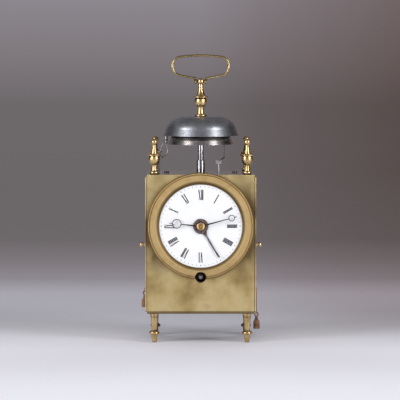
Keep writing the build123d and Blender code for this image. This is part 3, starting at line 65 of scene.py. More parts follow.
# Wear, finish and painted shade
hole_shade_radius = 5.7 * MM  # painted shade inside the winding hole, round its axis
hole_shade_edge = 0.2 * MM
bezel_dark_reach = 17 * MM  # of the darkening beside the bezel, out from its rim
bezel_dark_full = 3 * MM  # from the rim to where that darkening is deepest
hem = 0.6 * MM  # the painted shade along the front plate's lower edge is darkest up to this height
knob_start = 2.1 * MM  # beyond the front plate's sides, where only the doors' knobs reach
alarm_collar_top = 12.2 * MM  # of the alarm hammer, above the top plate

# Cord and tassels
ply_count = 3
ply_lay = 2.6 * MM  # length of one turn of the twist
ply_share = 0.52  # a ply's radius, of the cord's
ply_step = 0.2 * MM  # between the rings of corners along a ply
knot_radius = 2.5 * MM  # of the ring of cord at the top of a tassel, outside
knot_cord = 0.8 * MM  # radius of that cord
knot_turns = 6  # of its twist, once round the ring
knot_ply = 0.62  # radius of each of its two plies, of the cord's
knot_swing = 0.375  # how far its plies stray in and out, of the cord's radius
knot_sway = 0.3  # and fore and aft
neck_radius = 1.3 * MM
neck_length = 2.6 * MM
binding_thread = 0.22 * MM  # radius of the thread round the neck
binding_swell = 0.25 * MM
tuck = 0.4 * MM  # how far a part of a tassel goes into the next
core_share = 0.86  # of a tassel's radius, for the dark inside of its skirt
core_short = 0.6 * MM  # that inside ends this far above the hem
tassel_threads = 90
thread_radius = 0.3 * MM

# Camera
camera_distance = 2.95  # from the point on the clock's middle that it looks at
camera_pitch = math.radians(3.36)
camera_focus_height = 0.1408  # of that point
camera_aside = -0.7 * MM
camera_lens = 262.2
camera_sensor = 36.0
camera_reach = 20.0

# Stage
floor_radius = 3.3
wall_radius = 4.4
wall_height = 2.6
wall_sides = 96
wall_steps = 12  # in the bend between the floor and the wall
floor_first = -1.0  # depths between which the floor's greys change
floor_last = 2.0
wall_last = 0.4  # height up to which the wall's greys change
clock_middle = 0.14  # height that the lamps face
sky_fill = 0.03  # the surround's strength as light
sky_gloss = 0.2  # and as the metals mirror it

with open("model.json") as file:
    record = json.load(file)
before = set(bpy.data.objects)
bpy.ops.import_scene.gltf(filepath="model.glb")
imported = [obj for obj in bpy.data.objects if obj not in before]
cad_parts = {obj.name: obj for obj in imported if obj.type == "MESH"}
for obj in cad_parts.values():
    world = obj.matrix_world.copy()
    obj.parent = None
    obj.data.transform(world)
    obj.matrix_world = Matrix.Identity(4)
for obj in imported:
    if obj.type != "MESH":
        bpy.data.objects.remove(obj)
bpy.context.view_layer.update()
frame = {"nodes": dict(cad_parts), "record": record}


# Shaders


def rgb(red, green, blue):
    """A colour named in 8-bit sRGB, as a shader wants it."""

    def linear(value):
        value /= 255
        return value / 12.92 if value <= 0.04045 else ((value + 0.055) / 1.055) ** 2.4

    return (linear(red), linear(green), linear(blue), 1.0)


class Finish:
    """A material being made. Its methods add nodes, and most return an output to link on."""

    def __init__(self, name):
        self.material = bpy.data.materials.new(name)
        self.material.use_nodes = True
        self.nodes = self.material.node_tree.nodes
        self.links = self.material.node_tree.links
        self.shader = self.nodes["Principled BSDF"]
        self.place = self.nodes.new("ShaderNodeTexCoord").outputs["Object"]

    def feed(self, socket, value):
        """Links an output to the socket, or sets the socket to a plain value."""
        if isinstance(value, bpy.types.NodeSocket):
            self.links.new(value, socket)
        else:
            socket.default_value = value

    def set(self, **values):
        """Feeds the shader's sockets, named in lower case with underscores."""
        sockets = {socket.name.lower().replace(" ", "_"): socket for socket in self.shader.inputs}
        for name, value in values.items():
            self.feed(sockets[name], value)

    def calc(self, operation, first, second=0.0):
        """One operation of Blender's Math node."""
        node = self.nodes.new("ShaderNodeMath")
        node.operation = operation
        self.feed(node.inputs[0], first)
        self.feed(node.inputs[1], second)
        return node.outputs[0]

    def axes(self):
        """The place's X, Y and Z."""
        node = self.nodes.new("ShaderNodeSeparateXYZ")
        self.feed(node.inputs[0], self.place)
        return node.outputs

    def line(self, distance):
        """A place on a line, this far from its start."""
        node = self.nodes.new("ShaderNodeCombineXYZ")
        self.feed(node.inputs[0], distance)
        return node.outputs[0]

    def drawn(self, z, y=1.0, turn=0.0):
        """The place shrunk along Z and Y, where noise is then drawn out, and turned about Y, in degrees."""
        node = self.nodes.new("ShaderNodeMapping")
        self.feed(node.inputs["Vector"], self.place)
        node.inputs["Rotation"].default_value = (0, math.radians(turn), 0)
        node.inputs["Scale"].default_value = (1.0, y, z)
        return node.outputs[0]

    def radius(self, first, second, first_centre, second_centre):
        """Distance from an axis, from the two coordinates that cross it."""
        across = self.calc("SUBTRACT", first, first_centre)
        along = self.calc("SUBTRACT", second, second_centre)
        squares = [self.calc("MULTIPLY", part, part) for part in (across, along)]
        return self.calc("SQRT", self.calc("ADD", *squares))

    def from_axis(self, node):
        """Distance from the axis along Y through the middle of a CAD node."""
        low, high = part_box(node)
        centre = (low + high) / 2
        axes = self.axes()
        return self.radius(axes[0], axes[2], centre.x, centre.z)

    def noise(self, size, detail=3.0, at=None, rough=0.5):
        """Smooth noise from 0 to 1, with lumps of this size in metres."""
        node = self.nodes.new("ShaderNodeTexNoise")
        self.feed(node.inputs["Vector"], at or self.place)
        node.inputs["Scale"].default_value = 1 / size
        node.inputs["Detail"].default_value = detail
        node.inputs["Roughness"].default_value = rough
        return node.outputs[0]

    def ramp(self, value, *stops):
        """The value turned into a colour, by stops of (value, colour)."""
        node = self.nodes.new("ShaderNodeValToRGB")
        self.feed(node.inputs[0], value)
        elements = node.color_ramp.elements
        elements[0].position, elements[0].color = stops[0]
        elements[-1].position, elements[-1].color = stops[-1]
        for position, colour in stops[1:-1]:
            elements.new(position).color = colour
        return node.outputs[0]

    def span(self, value, low, high, to_low=0.0, to_high=1.0):
        """The value's run from low to high, as a run from to_low to to_high."""
        node = self.nodes.new("ShaderNodeMapRange")
        for socket, number in zip(node.inputs, (value, low, high, to_low, to_high)):
            self.feed(socket, number)
        return node.outputs[0]

    def blend(self, factor, first, second):
        """The first colour where the factor is 0, the second where it is 1."""
        node = self.nodes.new("ShaderNodeMix")
        node.data_type = "RGBA"
        self.feed(node.inputs["Factor"], factor)
        self.feed(node.inputs[6], first)
        self.feed(node.inputs[7], second)
        return node.outputs[2]

    def tint(self, colour, where, share, other):
        """The colour, with this share of another one where `where` is 1."""
        return self.blend(self.calc("MULTIPLY", where, share), colour, other)

    def times(self, first, second):
        """Two colours multiplied."""
        node = self.nodes.new("ShaderNodeMix")
        node.data_type = "RGBA"
        node.blend_type = "MULTIPLY"
        node.inputs["Factor"].default_value = 1.0
        self.feed(node.inputs[6], first)
        self.feed(node.inputs[7], second)
        return node.outputs[2]

    def bump(self, height, depth, after=None):
        """A normal that follows the height, this deep in metres, over an earlier bump."""
        node = self.nodes.new("ShaderNodeBump")
        self.feed(node.inputs["Height"], height)
        node.inputs["Distance"].default_value = depth
        if after is not None:
            self.feed(node.inputs["Normal"], after)
        return node.outputs[0]

    def edges(self, size):
        """1 on edges and 0 on flats: how far a normal rounded over this size leaves the true one."""
        bevel = self.nodes.new("ShaderNodeBevel")
        bevel.samples = 6
        bevel.inputs["Radius"].default_value = size
        facing = self.nodes.new("ShaderNodeVectorMath")
        facing.operation = "DOT_PRODUCT"
        self.feed(facing.inputs[0], bevel.outputs[0])
        self.feed(facing.inputs[1], self.nodes.new("ShaderNodeNewGeometry").outputs["Normal"])
        return self.span(facing.outputs["Value"], 0.99, 0.8)

    def upward(self):
        """1 on faces that look up, 0 on the rest."""
        normal = self.nodes.new("ShaderNodeSeparateXYZ")
        self.feed(normal.inputs[0], self.nodes.new("ShaderNodeNewGeometry").outputs["Normal"])
        return self.span(normal.outputs[2], 0.8, 0.95)

    def seen(self):
        """1 for rays from the camera, and for rays that a glossy or clear surface sent on, 0 for others."""
        path = self.nodes.new("ShaderNodeLightPath").outputs
        turned = self.calc("MAXIMUM", path["Is Glossy Ray"], path["Is Transmission Ray"])
        return self.calc("MAXIMUM", path["Is Camera Ray"], turned)

    def occlusion_shade(self, size):
        """1 in corners and grooves of about this size, 0 in the open, from ambient occlusion: the mask for
        painted shade.
        """
        node = self.nodes.new("ShaderNodeAmbientOcclusion")
        node.samples = 6
        node.inputs["Distance"].default_value = size
        return self.span(node.outputs["AO"], 0.85, 0.35)


def half_width(node):
    """Half the width of a CAD node, which is the radius of a round one."""
    low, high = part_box(node)
    return (high.x - low.x) / 2


def scratches(finish, layers, size):
    """Fine straight marks along Z, in layers that don't repeat each other, as a height."""
    height = 0.0
    for layer in range(layers):
        place = finish.drawn(0.03, y=0.3, turn=17 + layer * 180 / layers)
        line = finish.span(finish.noise(size, 2.0, place), 0.66, 0.72)
        height = finish.calc("MAXIMUM", height, line)
    return height


def lathe_lines(finish, distance, size):
    """Fine rings left by the tool, as a height that follows the distance."""
    return finish.noise(size, 3.0, finish.line(distance), rough=0.7)


def winding_hole_shade(finish):
    """1 on the wall of the winding hole and on what is behind it: the mask of painted shade inside the hole.
    """
    return finish.span(finish.from_axis("winding_arbor"), hole_shade_radius + hole_shade_edge, hole_shade_radius)


def dark_beside_bezel(finish, axes):
    """Up to 0.9 in patches beside the bezel, most near its rim: where the front plate is darkened."""
    rim = half_width("bezel")
    near = finish.span(finish.from_axis("bezel"), rim + bezel_dark_reach, rim + bezel_dark_full, 0.0, 0.9)
    aside = finish.span(finish.calc("ABSOLUTE", axes[0]), 0.55 * rim, 0.9 * rim)
    patchy = finish.span(finish.noise(30 * MM, 2.0), 0.36, 0.52, 0.3, 1.0)
    return finish.calc("MULTIPLY", patchy, finish.calc("MULTIPLY", near, aside))


def sheet_colour(finish, axes, mottle):
    """Old brass sheet from green to pink, stained, darker in patches beside the bezel, bright on its edges,
    with painted shade in its corners and along its lower edge.
    """
    streaks = finish.noise(12 * MM, 3.0, finish.drawn(0.25))
    patches = finish.calc("ADD", finish.calc("MULTIPLY", mottle, 0.8), finish.calc("MULTIPLY", streaks, 0.2))
    colour = finish.ramp(
        patches,
        (0.32, rgb(160, 134, 88)),
        (0.42, rgb(184, 160, 108)),
        (0.5, rgb(202, 180, 126)),
        (0.58, rgb(212, 192, 142)),
        (0.68, rgb(192, 154, 120)),
    )
    stains = finish.span(finish.noise(7 * MM, 5.0, rough=0.7), 0.62, 0.78, 0.0, 0.45)
    colour = finish.blend(stains, colour, rgb(128, 100, 62))
    colour = finish.blend(dark_beside_bezel(finish, axes), colour, rgb(104, 84, 52))
    # painted shade in corners and grooves
    colour = finish.tint(colour, finish.occlusion_shade(6 * MM), 0.7, rgb(92, 70, 40))
    colour = finish.tint(colour, finish.edges(0.6 * MM), 0.4, rgb(232, 204, 160))
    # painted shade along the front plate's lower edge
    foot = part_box("front_plate")[0].z
    return finish.blend(finish.span(axes[2], foot + 2 * hem, foot + hem, 0.0, 0.8), colour, rgb(92, 76, 48))


def case_brass():
    """Dull sheet, brushed and finely scratched along Z. The roof and the doors' knobs are polished, and the
    roof is darkened with painted shade.
    """
    finish = Finish("aged_sheet_brass")
    axes = finish.axes()
    mottle = finish.noise(45 * MM, 4.0, rough=0.6)
    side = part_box("front_plate")[1].x + knob_start
    knob = finish.span(finish.calc("ABSOLUTE", axes[0]), side, side + 0.3 * MM)
    roof = finish.upward()
    colour = finish.blend(knob, sheet_colour(finish, axes, mottle), rgb(214, 188, 162))
    # painted shade on the faces that look up
    colour = finish.tint(colour, roof, 0.75, rgb(96, 80, 60))
    dull = finish.span(mottle, 0.3, 0.7, 0.4, 0.52)
    polish = finish.calc("MAXIMUM", knob, roof)
    rough = finish.calc("SUBTRACT", dull, finish.calc("MULTIPLY", polish, 0.26))
    normal = finish.bump(finish.noise(0.9 * MM, 2.0, finish.drawn(0.04)), 0.012 * MM)
    normal = finish.bump(scratches(finish, 5, 1.1 * MM), 0.01 * MM, normal)
    finish.set(base_color=colour, metallic=0.86, roughness=rough, normal=normal)
    return finish.material


def turned_brass(name, satin, tarnish_and_shade):
    """Turned brass, this rough under clear wax, with fine rings and painted shade in its grooves.

    Its last argument, from 0 to 1, is how far it darkens towards the clock's back: painted shade.
    """
    finish = Finish(name)
    axes = finish.axes()
    rings = lathe_lines(finish, axes[2], 0.6 * MM)
    mottle = finish.noise(6 * MM, 4.0, rough=0.6)
    colour = finish.ramp(
        mottle, (0.3, rgb(176, 142, 88)), (0.5, rgb(206, 176, 122)), (0.8, rgb(214, 182, 134))
    )
    # painted shade in the grooves
    colour = finish.tint(colour, finish.occlusion_shade(2.5 * MM), 0.85, rgb(70, 46, 20))
    colour = finish.tint(colour, finish.edges(0.4 * MM), 0.2, rgb(240, 214, 166))
    specks = finish.span(finish.noise(1.2 * MM, 2.0), 0.72, 0.8, 0.0, 0.35)
    colour = finish.blend(specks, colour, rgb(120, 84, 40))
    # painted shade towards the clock's back
    colour = finish.blend(finish.span(axes[1], 0.0, 20 * MM, 0.0, tarnish_and_shade), colour, rgb(66, 44, 28))
    rough = finish.span(mottle, 0.35, 0.7, satin, satin + 0.08)
    finish.set(
        base_color=colour,
        metallic=1.0,
        roughness=rough,
        normal=finish.bump(rings, 0.003 * MM),
        coat_weight=0.5,
        coat_roughness=0.08,
    )
    return finish.material


def wire_brass():
    """Drawn wire, worn bright by hands, with green and brown where they don't rub and painted shade in its
    corners.
    """
    finish = Finish("handle_wire_brass")
    tarnish_and_shade = finish.noise(30 * MM, 3.0, rough=0.5)
    colour = finish.ramp(
        tarnish_and_shade, (0.34, rgb(146, 126, 76)), (0.5, rgb(180, 158, 104)), (0.66, rgb(204, 180, 128))
    )
    # painted shade in corners
    colour = finish.tint(colour, finish.occlusion_shade(2 * MM), 0.8, rgb(60, 44, 22))
    rough = finish.span(tarnish_and_shade, 0.35, 0.65, 0.26, 0.18)
    finish.set(
        base_color=colour,
        metallic=1.0,
        roughness=rough,
        coat_weight=0.4,
        coat_roughness=0.15,
    )
    return finish.material


def gilt_brass():
    """The bezel: warm satin lacquer over rings that the tool left round the dial.

    Its slope down to the dial, fine rings near its rim, its corners and the wall of the winding
    hole in it get painted shade.
    """
    finish = Finish("gilt_brass")
    distance = finish.from_axis("bezel")
    rim = half_width("bezel")
    rings = lathe_lines(finish, distance, 0.9 * MM)
    mottle = finish.noise(9 * MM, 5.0, rough=0.6)
    colour = finish.ramp(
        mottle, (0.3, rgb(164, 136, 84)), (0.5, rgb(182, 156, 106)), (0.72, rgb(190, 158, 112))
    )
    # painted shade: the slope down to the dial and fine rings near the rim
    shade = finish.ramp(
        finish.span(distance, 0.75 * rim, rim),
        (0.0, rgb(255, 255, 255)),
        (0.08, rgb(255, 255, 255)),
        (0.1, rgb(112, 104, 84)),
        (0.28, rgb(150, 142, 118)),
        (0.4, rgb(255, 255, 255)),
        (0.79, rgb(255, 255, 255)),
        (0.81, rgb(196, 184, 162)),
        (0.85, rgb(255, 255, 255)),
        (0.93, rgb(250, 248, 244)),
        (0.97, rgb(156, 144, 122)),
        (1.0, rgb(180, 170, 150)),
    )
    colour = finish.times(colour, shade)
    # painted shade in corners and grooves
    colour = finish.tint(colour, finish.occlusion_shade(3 * MM), 0.45, rgb(84, 60, 28))
    worn = finish.span(finish.noise(1.6 * MM, 3.0), 0.6, 0.72, 0.0, 0.3)
    colour = finish.blend(worn, colour, rgb(150, 112, 66))
    # painted shade in the winding hole
    colour = finish.blend(winding_hole_shade(finish), colour, rgb(44, 34, 30))
    rough = finish.span(mottle, 0.3, 0.7, 0.5, 0.6)
    finish.set(base_color=colour, metallic=0.55, roughness=rough, normal=finish.bump(rings, 0.02 * MM))
    return finish.material


def movement_brass():
    """Satin brass of plates and wheels, brushed along Z, with painted shade between the teeth and round the
    winding hole.
    """
    finish = Finish("movement_brass")
    grain = finish.noise(0.7 * MM, 3.0, finish.drawn(0.05))
    mottle = finish.noise(14 * MM, 4.0, rough=0.6)
    colour = finish.ramp(
        mottle, (0.3, rgb(186, 146, 78)), (0.55, rgb(222, 186, 112)), (0.8, rgb(212, 168, 100))
    )
    # painted shade in corners and between the teeth
    colour = finish.tint(colour, finish.occlusion_shade(2 * MM), 0.7, rgb(82, 56, 26))
    colour = finish.tint(colour, finish.edges(0.3 * MM), 0.4, rgb(248, 222, 164))
    # painted shade round the winding hole
    colour = finish.blend(winding_hole_shade(finish), colour, rgb(44, 34, 30))
    rough = finish.span(grain, 0.3, 0.7, 0.26, 0.4)
    finish.set(base_color=colour, metallic=1.0, roughness=rough, normal=finish.bump(grain, 0.01 * MM))
    return finish.material


def steel(name, colour, stain, gloss, depth):
    """Steel with a fine grain of this depth, a stain in soft patches, and painted shade in its corners."""
    finish = Finish(name)
    grain = finish.noise(0.6 * MM, 3.0, finish.drawn(0.08))
    mottle = finish.noise(4 * MM, 5.0, rough=0.65)
    tone = finish.blend(finish.span(mottle, 0.5, 0.8, 0.0, 0.6), colour, stain)
    # painted shade in corners
    tone = finish.tint(tone, finish.occlusion_shade(1.5 * MM), 0.7, rgb(34, 28, 26))
    rough = finish.span(mottle, 0.3, 0.75, gloss, gloss + 0.14)
    finish.set(base_color=tone, metallic=1.0, roughness=rough, normal=finish.bump(grain, depth))
    return finish.material


def alarm_steel():
    """The alarm hammer: a bright staff and collar, and a dark rod above them."""
    finish = Finish("alarm_steel")
    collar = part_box("top_plate")[1].z + alarm_collar_top
    dark = finish.span(finish.axes()[2], collar, collar + 1 * MM)
    tone = finish.blend(dark, rgb(212, 208, 208), rgb(92, 86, 84))
    finish.set(base_color=tone, metallic=0.45, roughness=0.34)
    return finish.material


def polished_steel():
    """The bells' stand: smooth and bright, with a few large dull clouds and painted shade in its corners."""
    finish = Finish("polished_steel")
    clouds = finish.noise(16 * MM, 3.0, rough=0.5)
    tone = finish.ramp(clouds, (0.35, rgb(150, 146, 146)), (0.6, rgb(186, 186, 190)))
    # painted shade in corners
    tone = finish.tint(tone, finish.occlusion_shade(1.5 * MM), 0.7, rgb(34, 28, 26))
    finish.set(base_color=tone, metallic=1.0, roughness=finish.span(clouds, 0.35, 0.65, 0.17, 0.1))
    return finish.material


def bell_metal(name, colour, stain, gloss, ring_depth):
    """A turned bell: rings round its axis, cloudy patches and a few dark specks."""
    finish = Finish(name)
    axes = finish.axes()
    low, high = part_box("upper_bell")
    centre = (low + high) / 2
    distance = finish.radius(axes[0], axes[1], centre.x, centre.y)
    along = finish.calc("SUBTRACT", distance, axes[2])
    rings = lathe_lines(finish, along, 0.7 * MM)
    bands = finish.noise(4 * MM, 2.0, finish.line(along))
    clouds = finish.noise(10 * MM, 5.0, rough=0.65)
    shade = finish.calc("ADD", finish.calc("MULTIPLY", bands, 0.4), finish.calc("MULTIPLY", clouds, 0.6))
    tone = finish.ramp(shade, (0.35, stain), (0.55, colour), (0.75, colour))
    specks = finish.span(finish.noise(1.4 * MM, 2.0), 0.74, 0.8, 0.0, 0.4)
    tone = finish.blend(specks, tone, rgb(58, 52, 50))
    tone = finish.tint(tone, finish.edges(0.5 * MM), 0.3, rgb(206, 208, 214))
    rough = finish.span(shade, 0.35, 0.65, gloss + 0.1, gloss)
    finish.set(base_color=tone, metallic=1.0, roughness=rough, normal=finish.bump(rings, ring_depth))
    return finish.material


def blued_steel():
    """Hands and screw heads: nearly black, with blue and straw brown where the heat was uneven."""
    finish = Finish("blued_steel")
    heat = finish.noise(8 * MM, 3.0)
    tone = finish.ramp(heat, (0.3, rgb(48, 50, 66)), (0.5, rgb(64, 60, 68)), (0.7, rgb(86, 68, 60)))
    tone = finish.tint(tone, finish.edges(0.3 * MM), 0.3, rgb(150, 144, 146))
    grain = finish.noise(0.5 * MM, 3.0, finish.drawn(0.1))
    rough = finish.span(heat, 0.3, 0.7, 0.26, 0.38)
    finish.set(base_color=tone, metallic=1.0, roughness=rough, normal=finish.bump(grain, 0.004 * MM))
    return finish.material


def rubbed_steel():
    """The alarm hand: bare and brownish on its wide hub, pale on the blade and blue at the tip."""
    finish = Finish("rubbed_steel")
    tone = finish.ramp(
        finish.span(finish.from_axis("bezel"), 0.0, 30 * MM),
        (0.0, rgb(132, 116, 112)),
        (0.24, rgb(150, 132, 126)),
        (0.3, rgb(120, 112, 114)),
        (0.42, rgb(190, 190, 198)),
        (0.62, rgb(150, 152, 166)),
        (0.85, rgb(62, 64, 82)),
    )
    wear = finish.noise(3 * MM, 4.0, rough=0.65)
    tone = finish.blend(finish.span(wear, 0.42, 0.6, 0.0, 0.8), tone, rgb(62, 48, 48))
    rough = finish.span(wear, 0.35, 0.7, 0.3, 0.46)
    finish.set(base_color=tone, metallic=0.85, roughness=rough, normal=finish.bump(wear, 0.01 * MM))
    return finish.material


def enamel():
    """White glass on copper: faintly uneven, a little warmer at the rim, with a few dark pits."""
    finish = Finish("white_enamel")
    ripple = finish.noise(9 * MM, 2.0)
    edge = half_width("dial")
    rim = finish.span(finish.from_axis("dial"), 0.88 * edge, edge)
    pits = finish.span(finish.noise(0.8 * MM, 2.0), 0.74, 0.8, 0.0, 0.5)
    tone = finish.blend(finish.span(ripple, 0.4, 0.7), rgb(238, 238, 238), rgb(234, 235, 238))
    tone = finish.tint(tone, rim, 0.5, rgb(228, 222, 206))
    tone = finish.blend(pits, tone, rgb(196, 188, 176))
    finish.set(
        base_color=tone,
        roughness=0.16,
        coat_weight=0.5,
        coat_roughness=0.06,
        normal=finish.bump(ripple, 0.05 * MM),
    )
    return finish.material


def dial_black():
    """Fired black of the numerals, a little worn."""
    finish = Finish("dial_black")
    wear = finish.noise(0.7 * MM, 3.0)
    tone = finish.ramp(wear, (0.45, rgb(30, 30, 38)), (0.8, rgb(70, 70, 80)))
    finish.set(base_color=tone, roughness=0.3, coat_weight=0.3, normal=finish.bump(wear, 0.008 * MM))
    return finish.material


def textile(name, light, dark):
    """Twisted silk: fine fibres, faded on the outside, with painted shade between the threads."""
    finish = Finish(name)
    fibre = finish.noise(0.25 * MM, 3.0, finish.drawn(0.12))
    fade = finish.noise(4 * MM, 3.0)
    tone = finish.ramp(fade, (0.3, dark), (0.6, light), (0.8, light))
    tone = finish.tint(tone, fibre, 0.4, dark)
    # painted shade between the threads
    tone = finish.tint(tone, finish.occlusion_shade(1 * MM), 0.8, rgb(52, 30, 20))
    finish.set(
        base_color=tone,
        roughness=0.82,
        sheen_weight=0.4,
        sheen_roughness=0.4,
        normal=finish.bump(fibre, 0.08 * MM),
    )
    return finish.material


def materials():
    """A material for each slot of the record, and for the nodes that don't look like their slot."""
    silk = (rgb(172, 130, 98), rgb(104, 72, 50))
    looks = {
        "case_brass": case_brass(),
        "turned_brass": turned_brass("turned_brass", 0.28, 0.0),
        "gilt_brass": gilt_brass(),
        "handle_brass": wire_brass(),
        "enamel": enamel(),
        "blued_steel": blued_steel(),
        "movement_brass": movement_brass(),
        "movement_steel": steel("movement_steel", rgb(150, 146, 142), rgb(88, 80, 74), 0.2, 0.004 * MM),
        "spring_steel": steel("spring_steel", rgb(96, 104, 124), rgb(70, 66, 74), 0.26, 0.006 * MM),
        "stand_steel": polished_steel(),
        "bright_bell": bell_metal("bright_bell", rgb(200, 192, 188), rgb(164, 154, 150), 0.2, 0.002 * MM),
        "dull_bell": bell_metal("dull_bell", rgb(176, 178, 184), rgb(136, 138, 144), 0.32, 0.008 * MM),
        "cord": textile("silk_cord", *silk),
        "tassel": textile("silk_tassel", *silk),
        # the feet get painted shade towards the clock's back
        "feet": turned_brass("feet_brass", 0.26, 0.85),
        "alarm_hand": rubbed_steel(),
        "strike_hammer": steel("hammer_steel", rgb(156, 152, 152), rgb(100, 94, 92), 0.3, 0.002 * MM),
        "alarm_hammer": alarm_steel(),
    }
    looks["hand_collet"] = looks["turned_brass"]
    return looks


def dress(looks):
    """Gives every CAD node its own material, or else the one of its slot."""
    for row in frame["record"]["subparts"]:
        mesh = frame["nodes"][row["node"]].data
        mesh.materials.clear()
        mesh.materials.append(looks.get(row["node"], looks[row["material_slot"]]))


# Pieces


def new_piece(name, shape, material, body):
    """A mesh object from a bmesh, in its place. It rides on its body, if it has one."""
    mesh = bpy.data.meshes.new(name)
    shape.to_mesh(mesh)
    shape.free()
    mesh.materials.append(material)
    piece = bpy.data.objects.new(name, mesh)
    bpy.context.scene.collection.objects.link(piece)
    if body is not None:
        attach(piece, body)
    return piece


def hoop(shape, middle, first, second, radius, sides):
    """Corners in a circle round the middle, in the plane of two directions."""
    corners = []
    for side in range(sides):
        angle = 2 * math.pi * side / sides
        out = first * math.cos(angle) + second * math.sin(angle)
        corners.append(shape.verts.new(middle + out * radius))
    return corners


def skin(shape, low, high):
    """Faces between two rings of corners."""
    for side, corner in enumerate(low):
        after = (side + 1) % len(low)
        shape.faces.new((corner, low[after], high[after], high[side]))


def skin_all(shape, rows):
    """Faces along a row of rings, with both ends closed.

    They look outward when each ring turns right-handed about the way from the first to the last.
    """
    for low, high in zip(rows, rows[1:]):
        skin(shape, low, high)
    shape.faces.new(rows[0][::-1])
    shape.faces.new(rows[-1])


def plumb(middle, height):
    """The point at this height over or under the middle."""
    return Vector((middle.x, middle.y, height))


# Dial


class Dial:
    """The front of the dial, where marks are laid in its own polar coordinates."""

    def __init__(self):
        mesh = frame["nodes"]["dial"].data
        corners = [vertex.co for vertex in mesh.vertices]
        self.tree = BVHTree.FromPolygons(corners, [face.vertices for face in mesh.polygons])
        low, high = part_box("dial")
        self.centre = (low + high) / 2
        self.front = low.y - 10 * MM  # where rays to the enamel start

    def at(self, turn, outward, aside, lift):
        """A point at this lift off the enamel. Turn is clockwise from 12, aside is clockwise too."""
        angle = math.radians(turn)
        x = self.centre.x + outward * math.sin(angle) + aside * math.cos(angle)
        z = self.centre.z + outward * math.cos(angle) - aside * math.sin(angle)
        hit = self.tree.ray_cast(Vector((x, self.front, z)), Vector((0, 1, 0)))[0]
        return Vector((x, hit.y - lift, z))


def stroke(shape, dial, turn, start, end, width):
    """A thin raised bar on the dial, in steps that follow its dome.

    Its start and end are (outward, aside), from the dial's centre.
    """
    steps = 1 + int(abs(end[0] - start[0]) / stroke_step)
    section = ((-0.5, -paint), (-0.5, paint), (0.5, paint), (0.5, -paint))
    rows = []
    for step in range(steps + 1):
        outward, aside = (first + (last - first) * step / steps for first, last in zip(start, end))
        corners = [dial.at(turn, outward, aside + side * width, lift) for side, lift in section]
        rows.append([shape.verts.new(corner) for corner in corners])
    skin_all(shape, rows)


def serif_line(shape, dial, turn, outward, aside, width):
    """A hairline across the end of a stroke of this width."""
    inner, outer = (outward - serif / 2, aside), (outward + serif / 2, aside)
    stroke(shape, dial, turn, inner, outer, width + 2 * serif_reach)


def letter_i(shape, dial, turn, aside):
    """One thick stroke."""
    stroke(shape, dial, turn, (numeral_inner, aside), (numeral_outer, aside), thick_stroke)
    for end in (numeral_inner, numeral_outer):
        serif_line(shape, dial, turn, end, aside, thick_stroke)


def letter_v(shape, dial, turn, aside):
    """A thick and a thin stroke that meet at the foot."""
    left, right = aside - letter_slant, aside + letter_slant
    stroke(shape, dial, turn, (numeral_inner, aside - v_foot), (numeral_outer, left), thick_stroke)
    stroke(shape, dial, turn, (numeral_inner, aside + v_foot), (numeral_outer, right), thin_stroke)
    serif_line(shape, dial, turn, numeral_outer, left, thick_stroke)
    serif_line(shape, dial, turn, numeral_outer, right, thin_stroke)


def letter_x(shape, dial, turn, aside):
    """A thick and a thin stroke that cross."""
    left, right = aside - letter_slant, aside + letter_slant
    stroke(shape, dial, turn, (numeral_inner, right), (numeral_outer, left), thick_stroke)
    stroke(shape, dial, turn, (numeral_inner, left), (numeral_outer, right), thin_stroke)
    for end, thick_at, thin_at in ((numeral_outer, left, right), (numeral_inner, right, left)):
        serif_line(shape, dial, turn, end, thick_at, thick_stroke)
        serif_line(shape, dial, turn, end, thin_at, thin_stroke)


# Each letter's drawing and its room, in stroke pitches
letters = {"I": (letter_i, 1.0), "V": (letter_v, 2.6), "X": (letter_x, 2.6)}
hours = ("XII", "I", "II", "III", "IIII", "V", "VI", "VII", "VIII", "IX", "X", "XI")


def numerals(dial, black):
    """Twelve roman numerals that stand on the centre."""
    for hour, numeral in enumerate(hours):
        shape = bmesh.new()
        aside = -sum(letters[letter][1] for letter in numeral) * stroke_pitch / 2
        for letter in numeral:
            draw, pitches = letters[letter]
            room = pitches * stroke_pitch
            draw(shape, dial, hour * 30, aside + room / 2)
            aside += room
        new_piece(f"numeral_{hour or 12}", shape, black, "case")


def dot(shape, dial, turn, radius, sides):
    """A flat spot on the minute circle."""
    top, bottom = [], []
    for side in range(sides):
        angle = 2 * math.pi * side / sides
        outward = dot_circle + radius * math.cos(angle)
        aside = radius * math.sin(angle)
        top.append(shape.verts.new(dial.at(turn, outward, aside, paint)))
        bottom.append(shape.verts.new(dial.at(turn, outward, aside, -paint)))
    skin_all(shape, [top, bottom])


def minute_dots(dial, black):
    """Sixty spots, with a larger lozenge at each hour."""
    shape = bmesh.new()
    for minute in range(60):
        on_hour = minute % 5 == 0
        dot(shape, dial, minute * 6, hour_dot if on_hour else minute_dot, 4 if on_hour else 8)
    new_piece("minute_dots", shape, black, "case")


# Cords and tassels


def tube(shape, path, radii, sides):
    """A closed tube along the points of the path, with a radius for each of them."""
    hint = Vector((0.3, 1.0, 0.2))
    rows = []
    for index, (middle, radius) in enumerate(zip(path, radii)):
        before, after = path[max(index - 1, 0)], path[min(index + 1, len(path) - 1)]
        along = (after - before).normalized()
        first = along.cross(hint).normalized()
        hint = first.cross(along)  # so that each ring of corners follows the last without a twist
        rows.append(hoop(shape, middle, first, along.cross(first), radius, sides))
    skin_all(shape, rows)


def twisted_cord(shape, high, low, radius):
    """Plies twisted round a straight line from high to low."""
    steps = max(8, int((high - low).length / ply_step))
    ply_radius = radius * ply_share
    for ply in range(ply_count):
        path = []
        for step in range(steps + 1):
            middle = high.lerp(low, step / steps)
            turn = 2 * math.pi * (ply / ply_count + (high.z - middle.z) / ply_lay)
            path.append(middle + Vector((math.cos(turn), math.sin(turn), 0)) * (radius - ply_radius))
        tube(shape, path, [ply_radius] * len(path), 6)


